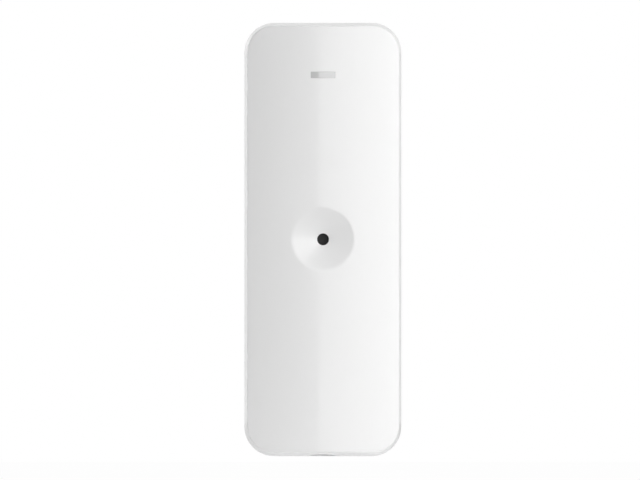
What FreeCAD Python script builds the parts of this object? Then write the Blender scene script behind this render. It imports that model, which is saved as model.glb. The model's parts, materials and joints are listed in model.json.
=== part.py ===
"""Slim wall-mounted glass break sensor: a moulded front cover on a wall plate, with a dished
microphone port, an indicator window, a circuit board, a one-cell battery cradle and switches.

Millimetres. +X is to the right as seen from the front, +Z is up and -Y points out of the wall.
The origin lies on the wall, midway between the two wall screws. A depth below is always a
distance forward of the wall, so a point of depth d has y = -d.
"""
import FreeCAD, Part
import math
import os

Vector = FreeCAD.Vector
FORWARD = Vector(0, -1, 0)
UP = Vector(0, 0, 1)
ACROSS = Vector(1, 0, 0)

# Battery: one lithium photo cell, standing upright
cell_diameter = 17.0
cell_length = 34.5
cell_nub_radius = 3.2
cell_nub_height = 0.9
cell_clearance = 0.2
cell_end_gap = 0.05

# Battery cradle and its contacts
cradle_wall = 1.2
cradle_floor = 0.6
cradle_end_wall = 1.2
cradle_wall_back = 2.4
cradle_finger_back = 4.0
cradle_end_back = 6.4
cradle_finger_width = 6.0
cradle_finger_from_end = 7.2
cradle_flange_width = 2.9
cradle_flange_thickness = 1.2
cradle_ear_height = 4.8
cradle_lug_size = 1.4
cradle_lug_from_top = 5.0
contact_sheet = 0.4
contact_width = 9.0
contact_tail_width = 3.0
contact_tail_rise = 3.2
contact_spring_height = 1.35
contact_spring_width = 4.0

# Walls of the two covers
front_wall = 2.0
side_wall = 2.0
plate_thickness = 2.0
screw_pad_thickness = 2.6
cell_to_pad_gap = 0.3
cradle_to_front_gap = 0.5

# Microphone, its boot and the port in the cover
capsule_radius = 4.85
capsule_height = 4.5
capsule_hole_radius = 0.8
capsule_hole_depth = 1.0
boot_wall = 1.1
boot_front = 1.2
boot_fit = 0.05
port_radius = 1.6
port_pad = 1.0
port_pad_margin = 1.3
dimple_radius = 8.2
dimple_depth = 1.1
dimple_rim_round = 5.0
mesh_radius = 3.0
mesh_thickness = 0.4
mesh_pocket_depth = 0.8

# Cover screw in the bottom end, and the tower of the wall plate that it bites into
screw_pocket_radius = 3.9
screw_pocket_depth = 3.7
screw_pocket_setback = 1.4
screw_floor = 2.0
screw_boss_wall = 1.6
screw_radius = 1.5
screw_hole_radius = 1.7
screw_head_radius = 2.8
screw_head_height = 2.2
screw_tip_short_of_tower = 0.2
tower_width = 10.0
tower_height = 4.5
tower_seat_gap = 0.1
tower_to_cradle_gap = 0.5
tower_to_front_gap = 0.6
tower_wall = 1.6
thread_fit = 0.05

# Circuit board
board_thickness = 1.6
board_edge_gap = 0.75
board_corner_radius = 4.0
board_top_gap = 3.0
board_foot_gap = 4.3
board_window_gap = 0.3
board_web = 1.5
cradle_to_board_gap = 0.6
boss_radius = 2.5
boss_from_board_end = 3.8
boss_bore_depth = 5.0
boss_rib = 1.0
board_screw_radius = 1.1
board_screw_length = 6.0
board_screw_head_radius = 2.0
board_screw_head_height = 1.5
board_hole_clearance = 0.15
board_rest_width = 4.0
board_clip_width = 8.0
board_clip_thickness = 1.2
board_clip_gap = 0.1
board_clip_bite = 0.7
board_clip_nose = 1.6

# The outer form
case_width = 42.0
corner_radius = 8.0
crown_rise = 1.2
taper_depth = 3.5
taper_angle = 11.0
face_edge_break = 0.3
shoulder_round = 2.0
split_depth = 5.0
shadow_gap = 0.3
plate_setback = 0.6
plate_edge_chamfer = 1.0
rabbet_wall = 1.0
rabbet_height = 3.0
tongue_thickness = 1.1
tongue_gap = 0.15
tongue_end_gap = 0.2

# Wall plate
wall_screw_spacing = 66.0
wall_screw_hole_radius = 2.15
countersink_radius = 3.7
screw_pad_size = 12.0
recess_depth = 0.4
recess_margin = 3.0
plate_rib_offset = 3.0
plate_rib_width = 1.0
plate_rib_height = 1.4
plate_rib_end_gap = 8.0

# Snap hooks at the top
hook_spread = 10.0
hook_width = 6.0
hook_thickness = 1.4
hook_nose = 1.0
hook_nose_height = 1.4
hook_ledge = 1.0
hook_ledge_height = 1.5
hook_ledge_above_rabbet = 0.4
hook_gap = 0.2

# Indicator
window_width = 6.62
window_height = 1.73
window_from_top = 14.02
window_fit = 0.05
pipe_flange_width = 13.0
pipe_flange_height = 3.6
pipe_flange_thickness = 1.0
pipe_stake_spread = 5.0
pipe_stake_size = 1.2
pipe_to_led_gap = 0.4
led_width = 3.0
led_depth = 1.4
led_base = 0.5
led_lens = 0.4

# Tamper switch
tamper_from_edge = 6.75
tamper_z = 8.0
tamper_body_size = 6.2
tamper_body_height = 5.0
tamper_plunger_radius = 1.5
tamper_plunger_proud = 1.5
tamper_travel = 1.5
tamper_entry = 0.5
tamper_fit = 0.05
tamper_plate_gap = 0.25
tamper_collar_radius = 2.5
tamper_collar_thickness = 0.8
tamper_spring_radius = 2.1
tamper_spring_wire = 0.2
tamper_spring_turns = 5
running_gap = 0.05

# Enrol button
enrol_from_edge = 6.25
enrol_z = 15.0
enrol_body_size = 6.0
enrol_body_height = 3.0
enrol_key_radius = 1.5
enrol_key_proud = 1.0
enrol_key_entry = 0.8
enrol_travel = 0.3

# Power slide switch
power_from_edge = 6.25
power_z = 3.0
power_body_width = 4.0
power_body_length = 9.0
power_body_height = 3.4
power_knob_width = 1.6
power_knob_length = 2.1
power_knob_proud = 1.5
power_knob_entry = 1.4
power_travel = 2.0

# Two-way sensitivity switch
sensitivity_x = -2.0
sensitivity_z = 11.0
sensitivity_body_width = 6.4
sensitivity_body_length = 5.4
sensitivity_body_height = 2.6
sensitivity_pitch = 2.54
sensitivity_knob_width = 1.2
sensitivity_knob_length = 1.3
sensitivity_knob_proud = 0.6
sensitivity_knob_entry = 1.1
sensitivity_travel = 1.2

# Radio: shield can and folded strip antenna
shield_x = 0.0
shield_z = 27.0
shield_width = 15.0
shield_length = 17.0
shield_height = 2.4
shield_sheet = 0.3
shield_corner_radius = 1.0
antenna_from_board_top = 7.0
antenna_length = 25.0
antenna_rise = 4.5
antenna_strip = 1.6
antenna_sheet = 0.4
antenna_leg_pitch = 4.0
antenna_leg_width = 1.0
antenna_tip_fold = 2.4

# Storage capacitor
capacitor_from_edge = 5.25
capacitor_z = 27.0
capacitor_radius = 3.15
capacitor_height = 7.0
capacitor_base = 0.7
capacitor_base_margin = 0.1

# Chips on the front of the board
processor_x = 0.0
processor_z = 25.0
processor_size = 7.0
processor_height = 1.3
processor_lead_count = 4
processor_pitch = 1.27
amplifier_from_edge = 7.75
amplifier_z = 14.0
amplifier_width = 3.9
amplifier_length = 4.9
amplifier_height = 1.5
amplifier_lead_count = 4
amplifier_pitch = 1.27
chip_standoff = 0.1
lead_width = 0.35
lead_sheet = 0.2
lead_reach = 1.0
crystal_from_edge = 9.25
crystal_z = 24.0
crystal_radius = 1.6
crystal_corner_radius = 1.4
crystal_length = 8.0
crystal_height = 2.4
crystal_flange = 0.4
chip_part_width = 0.8
chip_part_length = 1.6
chip_part_height = 0.5
chip_part_from_edge = 3.25
chip_part_rows = 7
chip_part_pitch = 4.5
chip_part_from_top = 14.0

# Depths of the stack, worked out from the wall forward
cell_depth = screw_pad_thickness + cell_to_pad_gap + cell_diameter / 2
cradle_inner_radius = cell_diameter / 2 + cell_clearance
cradle_outer_radius = cradle_inner_radius + cradle_wall
cradle_front_depth = cell_depth + cradle_inner_radius + cradle_floor
inner_front_depth = cradle_front_depth + cradle_to_front_gap
case_depth = inner_front_depth + front_wall
shoulder_depth = case_depth - crown_rise - taper_depth
boot_front_depth = inner_front_depth - port_pad
board_front_depth = boot_front_depth - boot_front - capsule_height
board_rear_depth = board_front_depth - board_thickness
screw_depth = shoulder_depth - screw_pocket_setback
rabbet_end_depth = split_depth + rabbet_height
plate_top_depth = split_depth - shadow_gap
tongue_top_depth = rabbet_end_depth - tongue_end_gap

# Heights, worked out downward from the microphone in the middle of the face
boot_radius = capsule_radius + boot_fit + boot_wall
board_window_top = -(boot_radius + board_web)
cradle_top = board_window_top - cradle_to_board_gap
cradle_inner_top = cradle_top - cradle_end_wall
cell_top = cradle_inner_top - contact_sheet - cell_end_gap
cell_bottom = cell_top - cell_length
cradle_inner_bottom = cell_bottom - contact_spring_height - contact_sheet
cradle_bottom = cradle_inner_bottom - cradle_end_wall
tower_top = cradle_bottom - tower_to_cradle_gap
tower_bottom = tower_top - tower_height
screw_floor_top = tower_bottom - tower_seat_gap
screw_seat = screw_floor_top - screw_floor
case_bottom = screw_seat - screw_pocket_depth
case_height = -2 * case_bottom
case_top = case_height / 2
window_z = case_top - window_from_top

# Sizes that follow from the case and the cradle
half_width = case_width / 2
crown_radius = (half_width ** 2 + crown_rise ** 2) / (2 * crown_rise)
board_half_width = half_width - side_wall - board_edge_gap
board_top = case_top - side_wall - board_top_gap
board_bottom = case_bottom + side_wall + screw_floor + board_foot_gap
board_window_half = cradle_outer_radius + board_window_gap
boss_x = (board_window_half + board_half_width) / 2
tamper_x = tamper_from_edge - board_half_width
amplifier_x = amplifier_from_edge - board_half_width
enrol_x = board_half_width - enrol_from_edge
power_x = board_half_width - power_from_edge
capacitor_x = board_half_width - capacitor_from_edge
crystal_x = board_half_width - crystal_from_edge
board_rest_z = board_top - boss_from_board_end
boss_bottom_z = board_bottom + boss_from_board_end
board_screw_tip_depth = board_rear_depth + board_screw_length
tamper_body_depth = board_rear_depth - tamper_body_height
tamper_collar_depth = plate_thickness + running_gap
antenna_z = board_top - antenna_from_board_top
antenna_rear_depth = board_rear_depth - antenna_rise

# The tamper spring is wound from short straight lengths of a four-sided wire
coil_step_count = 8
wire_side_count = 4
# Cuts run this far past the surface that they open
over = 1.0
# Inner features are rooted this deep in the wall that carries them
root = 0.5


def at(x, depth, z):
    """A point by its place across, its depth forward of the wall and its height."""
    return Vector(x, -depth, z)


def box(x_range, depth_range, z_range):
    """A box between two places across, two depths and two heights."""
    size = [high - low for low, high in (x_range, depth_range, z_range)]
    return Part.makeBox(*size, at(x_range[0], depth_range[1], z_range[0]))


def around(centre, size):
    """The range of a given size around a centre."""
    return (centre - size / 2, centre + size / 2)


def post(radius, x, z, depth_range):
    """A round bar that points straight out of the wall."""
    near, far = depth_range
    return Part.makeCylinder(radius, far - near, at(x, near, z), FORWARD)


def upright(radius, x, depth, z_range):
    """A round bar that stands upright."""
    low, high = z_range
    return Part.makeCylinder(radius, high - low, at(x, depth, low), UP)


def outline(half_across, half_tall, radius, depth, x=0.0, z=0.0):
    """A rectangle with round corners, as a closed wire parallel to the wall."""
    reach = radius * math.sqrt(0.5)
    corners = []
    for side, end in ((1, -1), (1, 1), (-1, 1), (-1, -1)):
        middle = (side * (half_across - radius), end * (half_tall - radius))
        flat_end = (middle[0], middle[1] + end * radius)
        flat_side = (middle[0] + side * radius, middle[1])
        bulge = (middle[0] + side * reach, middle[1] + end * reach)
        run = (flat_end, bulge, flat_side)
        corners.append(run if side * end < 0 else run[::-1])
    arcs = [[at(x + px, depth, z + pz) for px, pz in corner] for corner in corners]
    edges = []
    for arc, following in zip(arcs, arcs[1:] + arcs[:1]):
        edges.append(Part.Arc(*arc).toShape())
        edges.append(Part.LineSegment(arc[2], following[0]).toShape())
    return Part.Wire(edges)


def slab(half_across, half_tall, radius, depth_range, x=0.0, z=0.0):
    """A flat plate with round corners, parallel to the wall."""
    near, far = depth_range
    face = Part.Face(outline(half_across, half_tall, radius, near, x, z))
    return face.extrude(FORWARD * (far - near))


def turned(profile, x, z, axis_depth=None):
    """A solid turned from (radius, place) pairs: about an upright axis at a depth, or else
    about an axis that points out of the wall, where the places are depths."""
    if axis_depth is None:
        points = [at(x + radius, place, z) for radius, place in profile]
        centre, axis = at(x, 0, z), FORWARD
    else:
        points = [at(x + radius, axis_depth, z + place) for radius, place in profile]
        centre, axis = at(x, axis_depth, z), UP
    face = Part.Face(Part.makePolygon(points + points[:1]))
    return face.revolve(centre, axis, 360)


def prism(points, axis, length):
    """A bar of constant section: a polygon drawn through points and pushed along an axis."""
    face = Part.Face(Part.makePolygon(points + points[:1]))
    return face.extrude(axis * length)


def coil(radius, wire, pitch, turns, start, axis):
    """A four-sided wire wound about an axis, from a start point on that axis."""
    sections = []
    for step in range(turns * coil_step_count + 1):
        turned_by = math.tau * step / coil_step_count
        ray = Vector(math.cos(turned_by), math.sin(turned_by), 0)
        centre = ray * radius + UP * (pitch * step / coil_step_count)
        corners = []
        for side in range(wire_side_count):
            around_wire = math.tau * side / wire_side_count
            corners.append(centre + ray * (wire * math.cos(around_wire))
                           + UP * (wire * math.sin(around_wire)))
        sections.append(Part.makePolygon(corners + corners[:1]))
    wound = Part.makeLoft(sections, True, True)
    wound.Placement = FreeCAD.Placement(start, FreeCAD.Rotation(UP, axis))
    return wound


def cross_drive(radius, depth, centre, axis):
    """The cross-shaped recess in a screw head, sunk along an axis from its centre."""
    width = radius / 3
    arms = []
    for long_x, long_y in ((radius, width), (width, radius)):
        arm = Part.makeBox(long_x, long_y, depth + over, Vector(-long_x / 2, -long_y / 2, -over))
        arms.append(arm)
    drive = arms[0].fuse(arms[1])
    drive.Placement = FreeCAD.Placement(centre, FreeCAD.Rotation(UP, axis))
    return drive


def joined(first, *others):
    """Several shapes joined into one, with the seams between coplanar faces removed."""
    return first.multiFuse(list(others)).removeSplitter()


def case_block():
    """The solid form of the case: straight sides, tapered in above the shoulder, and a crown."""
    sides = slab(half_width, case_top, corner_radius, (split_depth, shoulder_depth))
    sections = []
    for depth in (shoulder_depth, case_depth + over):
        inset = (depth - shoulder_depth) * math.tan(math.radians(taper_angle))
        sections.append(outline(half_width - inset, case_top - inset, corner_radius - inset, depth))
    tapered = Part.makeLoft(sections, True, True)
    return sides.fuse(tapered).common(crowned(case_depth))


def case_room():
    """The room inside the case, behind a front wall that follows the crown."""
    sides = slab(half_width - side_wall, case_top - side_wall, corner_radius - side_wall,
                 (split_depth - over, case_depth))
    return sides.common(crowned(inner_front_depth))


def crowned(apex):
    """Everything behind the crown, when its middle line lies at a depth."""
    radius = crown_radius - case_depth + apex
    return upright(radius, 0, apex - radius, (case_bottom - over, case_top + over))


def crown_drop(x):
    """How far the crowned face has fallen back at a distance from its middle line."""
    return crown_radius - math.sqrt(crown_radius ** 2 - x ** 2)


def outer_form():
    """The case as it is seen from outside: block, soft edges and the microphone's dimple."""
    block = case_block()
    face = max(block.Faces, key=lambda candidate: -candidate.CenterOfMass.y)
    block = block.makeChamfer(face_edge_break, face.Edges)
    shoulder = [edge for edge in block.Edges
                if all(abs(-vertex.Point.y - shoulder_depth) < 0.001 for vertex in edge.Vertexes)]
    block = block.makeFillet(shoulder_round, shoulder)
    dimpled = block.cut(dimple())
    rim = [edge for edge in dimpled.Edges if is_dimple_rim(edge)]
    return dimpled.makeFillet(dimple_rim_round, rim)


def is_dimple_rim(edge):
    """Whether an edge runs where the dimple meets the crowned face."""
    points = edge.discretize(5)
    return all(abs(math.hypot(point.x, point.z) - dimple_radius) < 0.1
               and -point.y > case_depth - dimple_depth for point in points)


def dimple():
    """The cutter of the shallow dish, whose edge is a true circle on the crowned face."""
    run = dimple_radius - port_radius
    side_slope = (dimple_depth - crown_drop(dimple_radius)) / run
    end_slope = dimple_depth / run
    mouth = case_depth + over
    half_across = port_radius + (dimple_depth + over) / side_slope
    half_tall = port_radius + (dimple_depth + over) / end_slope
    floor = Part.Circle(at(0, case_depth - dimple_depth, 0), FORWARD, port_radius)
    opening = Part.Ellipse(at(half_across, mouth, 0), at(0, mouth, half_tall), at(0, mouth, 0))
    wires = [Part.Wire([curve.toShape()]) for curve in (floor, opening)]
    return Part.makeLoft(wires, True, True)


def hook_sides():
    """The two places across where the snap hooks stand."""
    return (-hook_spread, hook_spread)


def boss_places():
    """The two board screws, as places across and heights."""
    return [(side * boss_x, boss_bottom_z) for side in (-1, 1)]


def board_rests():
    """The two ribs of the front cover that the top of the board lies on."""
    front_root = inner_front_depth + root
    ribs = []
    for side in (-1, 1):
        reach = sorted((side * (board_half_width - board_rest_width),
                        side * (half_width - side_wall + root)))
        ribs.append(box(reach, (board_front_depth, front_root), around(board_rest_z, boss_rib)))
    return ribs


def board_clip():
    """The springy clip of the front cover that the board's top end is tucked under."""
    inner = board_top + board_clip_gap
    outer = inner + board_clip_thickness
    tip = board_top - board_clip_bite
    seat = board_rear_depth - running_gap
    nose_rear = seat - board_clip_nose
    front_root = inner_front_depth + root
    section = [(inner, front_root), (outer, front_root), (outer, nose_rear), (inner, nose_rear),
               (tip, seat - board_clip_nose / 3), (tip, seat), (inner, seat)]
    start = -board_clip_width / 2
    return prism([at(start, depth, z) for z, depth in section], ACROSS, board_clip_width)


def front_cover():
    """The crowned front shell with its port, window, bosses, ledges and screw pocket."""
    outside = outer_form()
    shell = outside.cut(case_room())
    rabbet = slab(half_width - rabbet_wall, case_top - rabbet_wall, corner_radius - rabbet_wall,
                  (split_depth - over, rabbet_end_depth))
    shell = shell.cut(rabbet)

    front_root = inner_front_depth + root
    pad = around(0, 2 * (boot_radius + port_pad_margin))
    inner = [box(pad, (boot_front_depth, front_root), pad)]
    for x, z in boss_places():
        inner.append(post(boss_radius, x, z, (board_front_depth, front_root)))
        wall_x = math.copysign(half_width - side_wall + root, x)
        rib_depths = (board_front_depth + side_wall, front_root)
        inner.append(box(sorted((x, wall_x)), rib_depths, around(z, boss_rib)))
    inner += board_rests()
    inner.append(board_clip())
    inner += pipe_stakes((pipe_flange_rear() - root, front_root), 0.0)
    ledge_foot = rabbet_end_depth + hook_ledge_above_rabbet
    ledge_z = (case_top - side_wall - hook_ledge, case_top - side_wall + root)
    for x in hook_sides():
        ledge_depths = (ledge_foot, ledge_foot + hook_ledge_height)
        inner.append(box(around(x, hook_width + 1.0), ledge_depths, ledge_z))
    inner.append(upright(screw_pocket_radius + screw_boss_wall, 0, screw_depth,
                         (case_bottom - over, screw_floor_top)))
    kept = outside.common(inner[0].multiFuse(inner[1:]))
    cover = joined(shell, kept)

    cuts = [post(port_radius, 0, 0, (boot_front_depth - over, case_depth + over)),
            post(mesh_radius + window_fit, 0, 0, (boot_front_depth - over, mesh_seat_depth())),
            window_prism(0.0, inner_front_depth - over),
            upright(screw_pocket_radius, 0, screw_depth, (case_bottom - over, screw_seat)),
            upright(screw_hole_radius, 0, screw_depth, (screw_seat - over, screw_floor_top + over))]
    for x, z in boss_places():
        bore_depths = (board_front_depth - over, board_front_depth + boss_bore_depth)
        cuts.append(post(board_screw_radius + thread_fit, x, z, bore_depths))
    return cover.cut(cuts[0].multiFuse(cuts[1:]))


def mesh_seat_depth():
    """The depth of the step that the acoustic mesh lies against."""
    return boot_front_depth + mesh_pocket_depth


def window_prism(fit, rear_depth):
    """The straight bar of the indicator window, smaller by a fit on every side."""
    return box(around(0, window_width - 2 * fit), (rear_depth, case_depth + over),
               around(window_z, window_height - 2 * fit))


def pipe_flange_front():
    """The depth of the light pipe's flange, just behind the crowned inner face."""
    return inner_front_depth - crown_drop(pipe_flange_width / 2) - window_fit


def pipe_flange_rear():
    """The depth of the rear of the light pipe's flange."""
    return pipe_flange_front() - pipe_flange_thickness


def light_pipe():
    """The clear bar of the indicator, with a staked flange and a foot over the lamp."""
    rear = board_front_depth + led_base + led_lens + pipe_to_led_gap
    bar = window_prism(window_fit, rear).common(crowned(case_depth))
    flange_depths = (pipe_flange_rear(), pipe_flange_front())
    flange = box(around(0, pipe_flange_width), flange_depths, around(window_z, pipe_flange_height))
    for hole in pipe_stakes((pipe_flange_rear() - over, pipe_flange_front() + over), window_fit):
        flange = flange.cut(hole)
    return joined(bar, flange)


def pipe_stakes(depth_range, margin):
    """The two square stakes that hold the light pipe, or with a margin the holes for them."""
    size = pipe_stake_size + 2 * margin
    return [box(around(side * pipe_stake_spread, size), depth_range, around(window_z, size))
            for side in (-1, 1)]


def mic_mesh():
    """The round black acoustic mesh behind the port."""
    seat = mesh_seat_depth()
    return post(mesh_radius, 0, 0, (seat - mesh_thickness, seat))


def mic_boot():
    """The rubber boot that seals the microphone to the port."""
    boot = post(boot_radius, 0, 0, (board_front_depth, boot_front_depth))
    seat = board_front_depth + capsule_height
    boot = boot.cut(post(capsule_radius + boot_fit, 0, 0, (board_front_depth - over, seat)))
    return boot.cut(post(mesh_radius, 0, 0, (seat - over, boot_front_depth + over)))


def microphone():
    """The electret capsule with its sound hole."""
    front = board_front_depth + capsule_height
    hole_end = front - capsule_hole_depth
    profile = [(0, board_front_depth), (capsule_radius, board_front_depth), (capsule_radius, front),
               (capsule_hole_radius, front), (capsule_hole_radius, hole_end), (0, hole_end)]
    return turned(profile, 0, 0)


def countersunk_hole(z):
    """The cutter of one wall screw's hole, countersunk from the inside of the plate."""
    slope_depth = screw_pad_thickness - (countersink_radius - wall_screw_hole_radius)
    profile = [(0, -over), (wall_screw_hole_radius, -over), (wall_screw_hole_radius, slope_depth),
               (countersink_radius, screw_pad_thickness),
               (countersink_radius, screw_pad_thickness + over), (0, screw_pad_thickness + over)]
    return turned(profile, 0, z)


def wall_screw_heights():
    """The heights of the two wall screws."""
    return around(0, wall_screw_spacing)


def snap_hook(x):
    """One upstanding hook of the wall plate, whose nose catches the cover's ledge."""
    inner = case_top - side_wall
    outer_z = inner - hook_ledge - hook_gap
    ledge_top = rabbet_end_depth + hook_ledge_above_rabbet + hook_ledge_height
    nose_foot = ledge_top + hook_gap
    nose_top = nose_foot + hook_nose_height
    section = [(outer_z - hook_thickness, plate_thickness - root), (outer_z, plate_thickness - root),
               (outer_z, nose_foot), (outer_z + hook_nose, nose_foot),
               (outer_z + hook_nose, nose_foot + hook_nose_height / 3), (outer_z, nose_top),
               (outer_z - hook_thickness, nose_top)]
    start = x - hook_width / 2
    return prism([at(start, depth, z) for z, depth in section], ACROSS, hook_width)


def screw_tower():
    """The channel-shaped post of the wall plate that the cover screw bites into."""
    top = inner_front_depth - tower_to_front_gap
    tower = box(around(0, tower_width), (plate_thickness - root, top), (tower_bottom, tower_top))
    block_back = screw_depth - screw_radius - 2 * tower_wall
    channel = box(around(0, tower_width - 2 * tower_wall), (plate_thickness + tower_wall, block_back),
                  (tower_bottom + tower_wall, tower_top + over))
    bore = upright(screw_radius + thread_fit, 0, screw_depth, (tower_bottom - over, tower_top + over))
    return tower.cut(channel).cut(bore)


def rear_cover():
    """The wall plate: a shallow tray with a tongue, screw pads, hooks, ribs and the tower."""
    edge = plate_setback
    tray = slab(half_width - edge, case_top - edge, corner_radius - edge, (0, plate_top_depth))
    wall_face = min(tray.Faces, key=lambda face: -face.CenterOfMass.y)
    tray = tray.makeChamfer(plate_edge_chamfer, wall_face.Edges)
    tongue_inset = rabbet_wall + tongue_gap
    tongue = slab(half_width - tongue_inset, case_top - tongue_inset, corner_radius - tongue_inset,
                  (root, tongue_top_depth))
    hollow_inset = tongue_inset + tongue_thickness
    hollow = slab(half_width - hollow_inset, case_top - hollow_inset, corner_radius - hollow_inset,
                  (plate_thickness, split_depth + rabbet_height + over))
    tray = joined(tray, tongue).cut(hollow)

    pads = [box(around(0, screw_pad_size), (0, screw_pad_thickness), around(z, screw_pad_size))
            for z in wall_screw_heights()]
    recess_inset = edge + recess_margin
    recess = slab(half_width - recess_inset, case_top - recess_inset, corner_radius - recess_inset,
                  (-over, recess_depth))
    tray = tray.cut(recess)
    added = list(pads)
    added += [snap_hook(x) for x in hook_sides()]
    added.append(screw_tower())
    rib_x = half_width - hollow_inset - plate_rib_offset
    rib_z = (case_bottom + plate_rib_end_gap, case_top - plate_rib_end_gap)
    rib_depths = (plate_thickness - root, plate_thickness + plate_rib_height)
    added += [box(around(side * rib_x, plate_rib_width), rib_depths, rib_z) for side in (-1, 1)]
    plate = joined(tray, *added)

    holes = [countersunk_hole(z) for z in wall_screw_heights()]
    tamper_hole = post(tamper_plunger_radius + tamper_plate_gap, tamper_x, tamper_z,
                       (-over, plate_thickness + over))
    return plate.cut(tamper_hole.multiFuse(holes))


def cover_screw():
    """The pan head screw that enters from below and holds the front cover."""
    tip = tower_top - screw_tip_short_of_tower
    head_bottom = screw_seat - screw_head_height
    profile = [(0, head_bottom), (screw_head_radius, head_bottom), (screw_head_radius, screw_seat),
               (screw_radius, screw_seat), (screw_radius, tip), (0, tip)]
    screw = turned(profile, 0, 0, screw_depth)
    drive_depth = screw_head_height / 2
    return screw.cut(cross_drive(screw_head_radius, drive_depth, at(0, screw_depth, head_bottom), UP))


def circuit_board():
    """The fork-shaped board: whole above the battery, with a leg on each side of it."""
    middle = (board_top + board_bottom) / 2
    depths = (board_rear_depth, board_front_depth)
    board = slab(board_half_width, (board_top - board_bottom) / 2, board_corner_radius, depths, 0,
                 middle)
    through = (board_rear_depth - over, board_front_depth + over)
    cuts = [box((-board_window_half, board_window_half), through,
                (board_bottom - over, board_window_top))]
    cuts += [post(board_screw_radius + board_hole_clearance, x, z, through)
             for x, z in boss_places()]
    cuts += [lug(x, z, through, window_fit) for x, z in lug_places()]
    return board.cut(cuts[0].multiFuse(cuts[1:]))


def lug_places():
    """The two locating lugs of the battery cradle, as places across and heights."""
    x = cradle_outer_radius + cradle_flange_width / 2 + board_window_gap / 2
    return [(side * x, cradle_top - cradle_lug_from_top) for side in (-1, 1)]


def lug(x, z, depth_range, margin):
    """One square locating lug, or with a margin the hole that takes it."""
    size = cradle_lug_size + 2 * margin
    return box(around(x, size), depth_range, around(z, 2 * size))


def board_screws():
    """The two self-tapping screws, from behind, that hold the board by the cradle's ears."""
    screws = []
    seat = board_rear_depth - cradle_flange_thickness
    head_rear = seat - board_screw_head_height
    for x, z in boss_places():
        profile = [(0, head_rear), (board_screw_head_radius, head_rear),
                   (board_screw_head_radius, seat), (board_screw_radius, seat),
                   (board_screw_radius, board_screw_tip_depth), (0, board_screw_tip_depth)]
        screw = turned(profile, x, z)
        drive_depth = board_screw_head_height / 2
        drive = cross_drive(board_screw_head_radius, drive_depth, at(x, head_rear, z), FORWARD)
        screws.append(screw.cut(drive))
    return Part.makeCompound(screws)


def battery_cradle():
    """The trough that holds the cell, hung in the board's window by its flanges."""
    reach = (-cradle_outer_radius, cradle_outer_radius)
    full = (cradle_bottom, cradle_top)
    whole = upright(cradle_outer_radius, 0, cell_depth, full)
    trough = whole.common(box(reach, (cell_depth - cradle_wall_back, cradle_front_depth), full))
    ends = []
    for low, high in ((cradle_bottom, cradle_inner_bottom), (cradle_inner_top, cradle_top)):
        zone = box(reach, (cell_depth - cradle_end_back, cradle_front_depth), (low, high))
        ends.append(whole.common(zone))
    fingers = []
    for z in (cradle_bottom + cradle_finger_from_end, cradle_top - cradle_finger_from_end):
        zone = box(reach, (cell_depth - cradle_finger_back, cell_depth), around(z, cradle_finger_width))
        fingers.append(whole.common(zone))
    flange_half = cradle_outer_radius + cradle_flange_width
    flange_depths = (board_rear_depth - cradle_flange_thickness, board_rear_depth)
    flange = box((-flange_half, flange_half), flange_depths, full)
    ear_half = boss_x + boss_radius
    ears = box((-ear_half, ear_half), flange_depths, around(boss_bottom_z, cradle_ear_height))
    lugs = [lug(x, z, (board_rear_depth - root, board_front_depth), 0.0) for x, z in lug_places()]
    cradle = joined(trough, *ends, *fingers, flange, ears, *lugs)
    hollow = upright(cradle_inner_radius, 0, cell_depth, (cradle_inner_bottom, cradle_inner_top))
    ear_gap = box((-cradle_outer_radius, cradle_outer_radius), flange_depths,
                  (boss_bottom_z - cradle_ear_height, cradle_bottom))
    holes = [post(board_screw_radius + board_hole_clearance, x, z,
                  (flange_depths[0] - over, flange_depths[1] + over))
             for x, z in boss_places()]
    slot = negative_tail(window_fit)
    return cradle.cut(hollow.multiFuse([ear_gap, slot] + holes))


def battery():
    """The lithium cell in its wrapper, plus end up."""
    radius = cell_diameter / 2
    shoulder = cell_top - cell_nub_height
    profile = [(0, cell_bottom), (radius, cell_bottom), (radius, shoulder),
               (cell_nub_radius, shoulder), (cell_nub_radius, cell_top), (0, cell_top)]
    return turned(profile, 0, 0, cell_depth)


def battery_contact_positive():
    """The upper contact: a sheet on the cradle's end wall with a tail that bends to the board."""
    sheet_z = (cradle_inner_top - contact_sheet, cradle_inner_top)
    riser_front = cell_depth - cradle_end_back - running_gap
    riser_rear = riser_front - contact_sheet
    sheet = box(around(0, contact_width), (riser_rear, cell_depth + cell_nub_radius), sheet_z)
    tail_top = cradle_top + contact_tail_rise
    riser = box(around(0, contact_tail_width), (riser_rear, riser_front), (sheet_z[0], tail_top))
    tail = box(around(0, contact_tail_width), (riser_rear, board_rear_depth),
               (tail_top - contact_sheet, tail_top))
    return joined(sheet, riser, tail)


def negative_tail(margin):
    """The solder tail of the lower contact, larger by a margin on every side."""
    x = cradle_outer_radius + cradle_flange_width / 2
    return box((x - contact_sheet - margin, x + margin),
               (cell_depth - cradle_finger_back, board_rear_depth + margin),
               (cradle_inner_bottom - margin, cradle_inner_bottom + contact_tail_width / 2 + margin))


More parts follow.
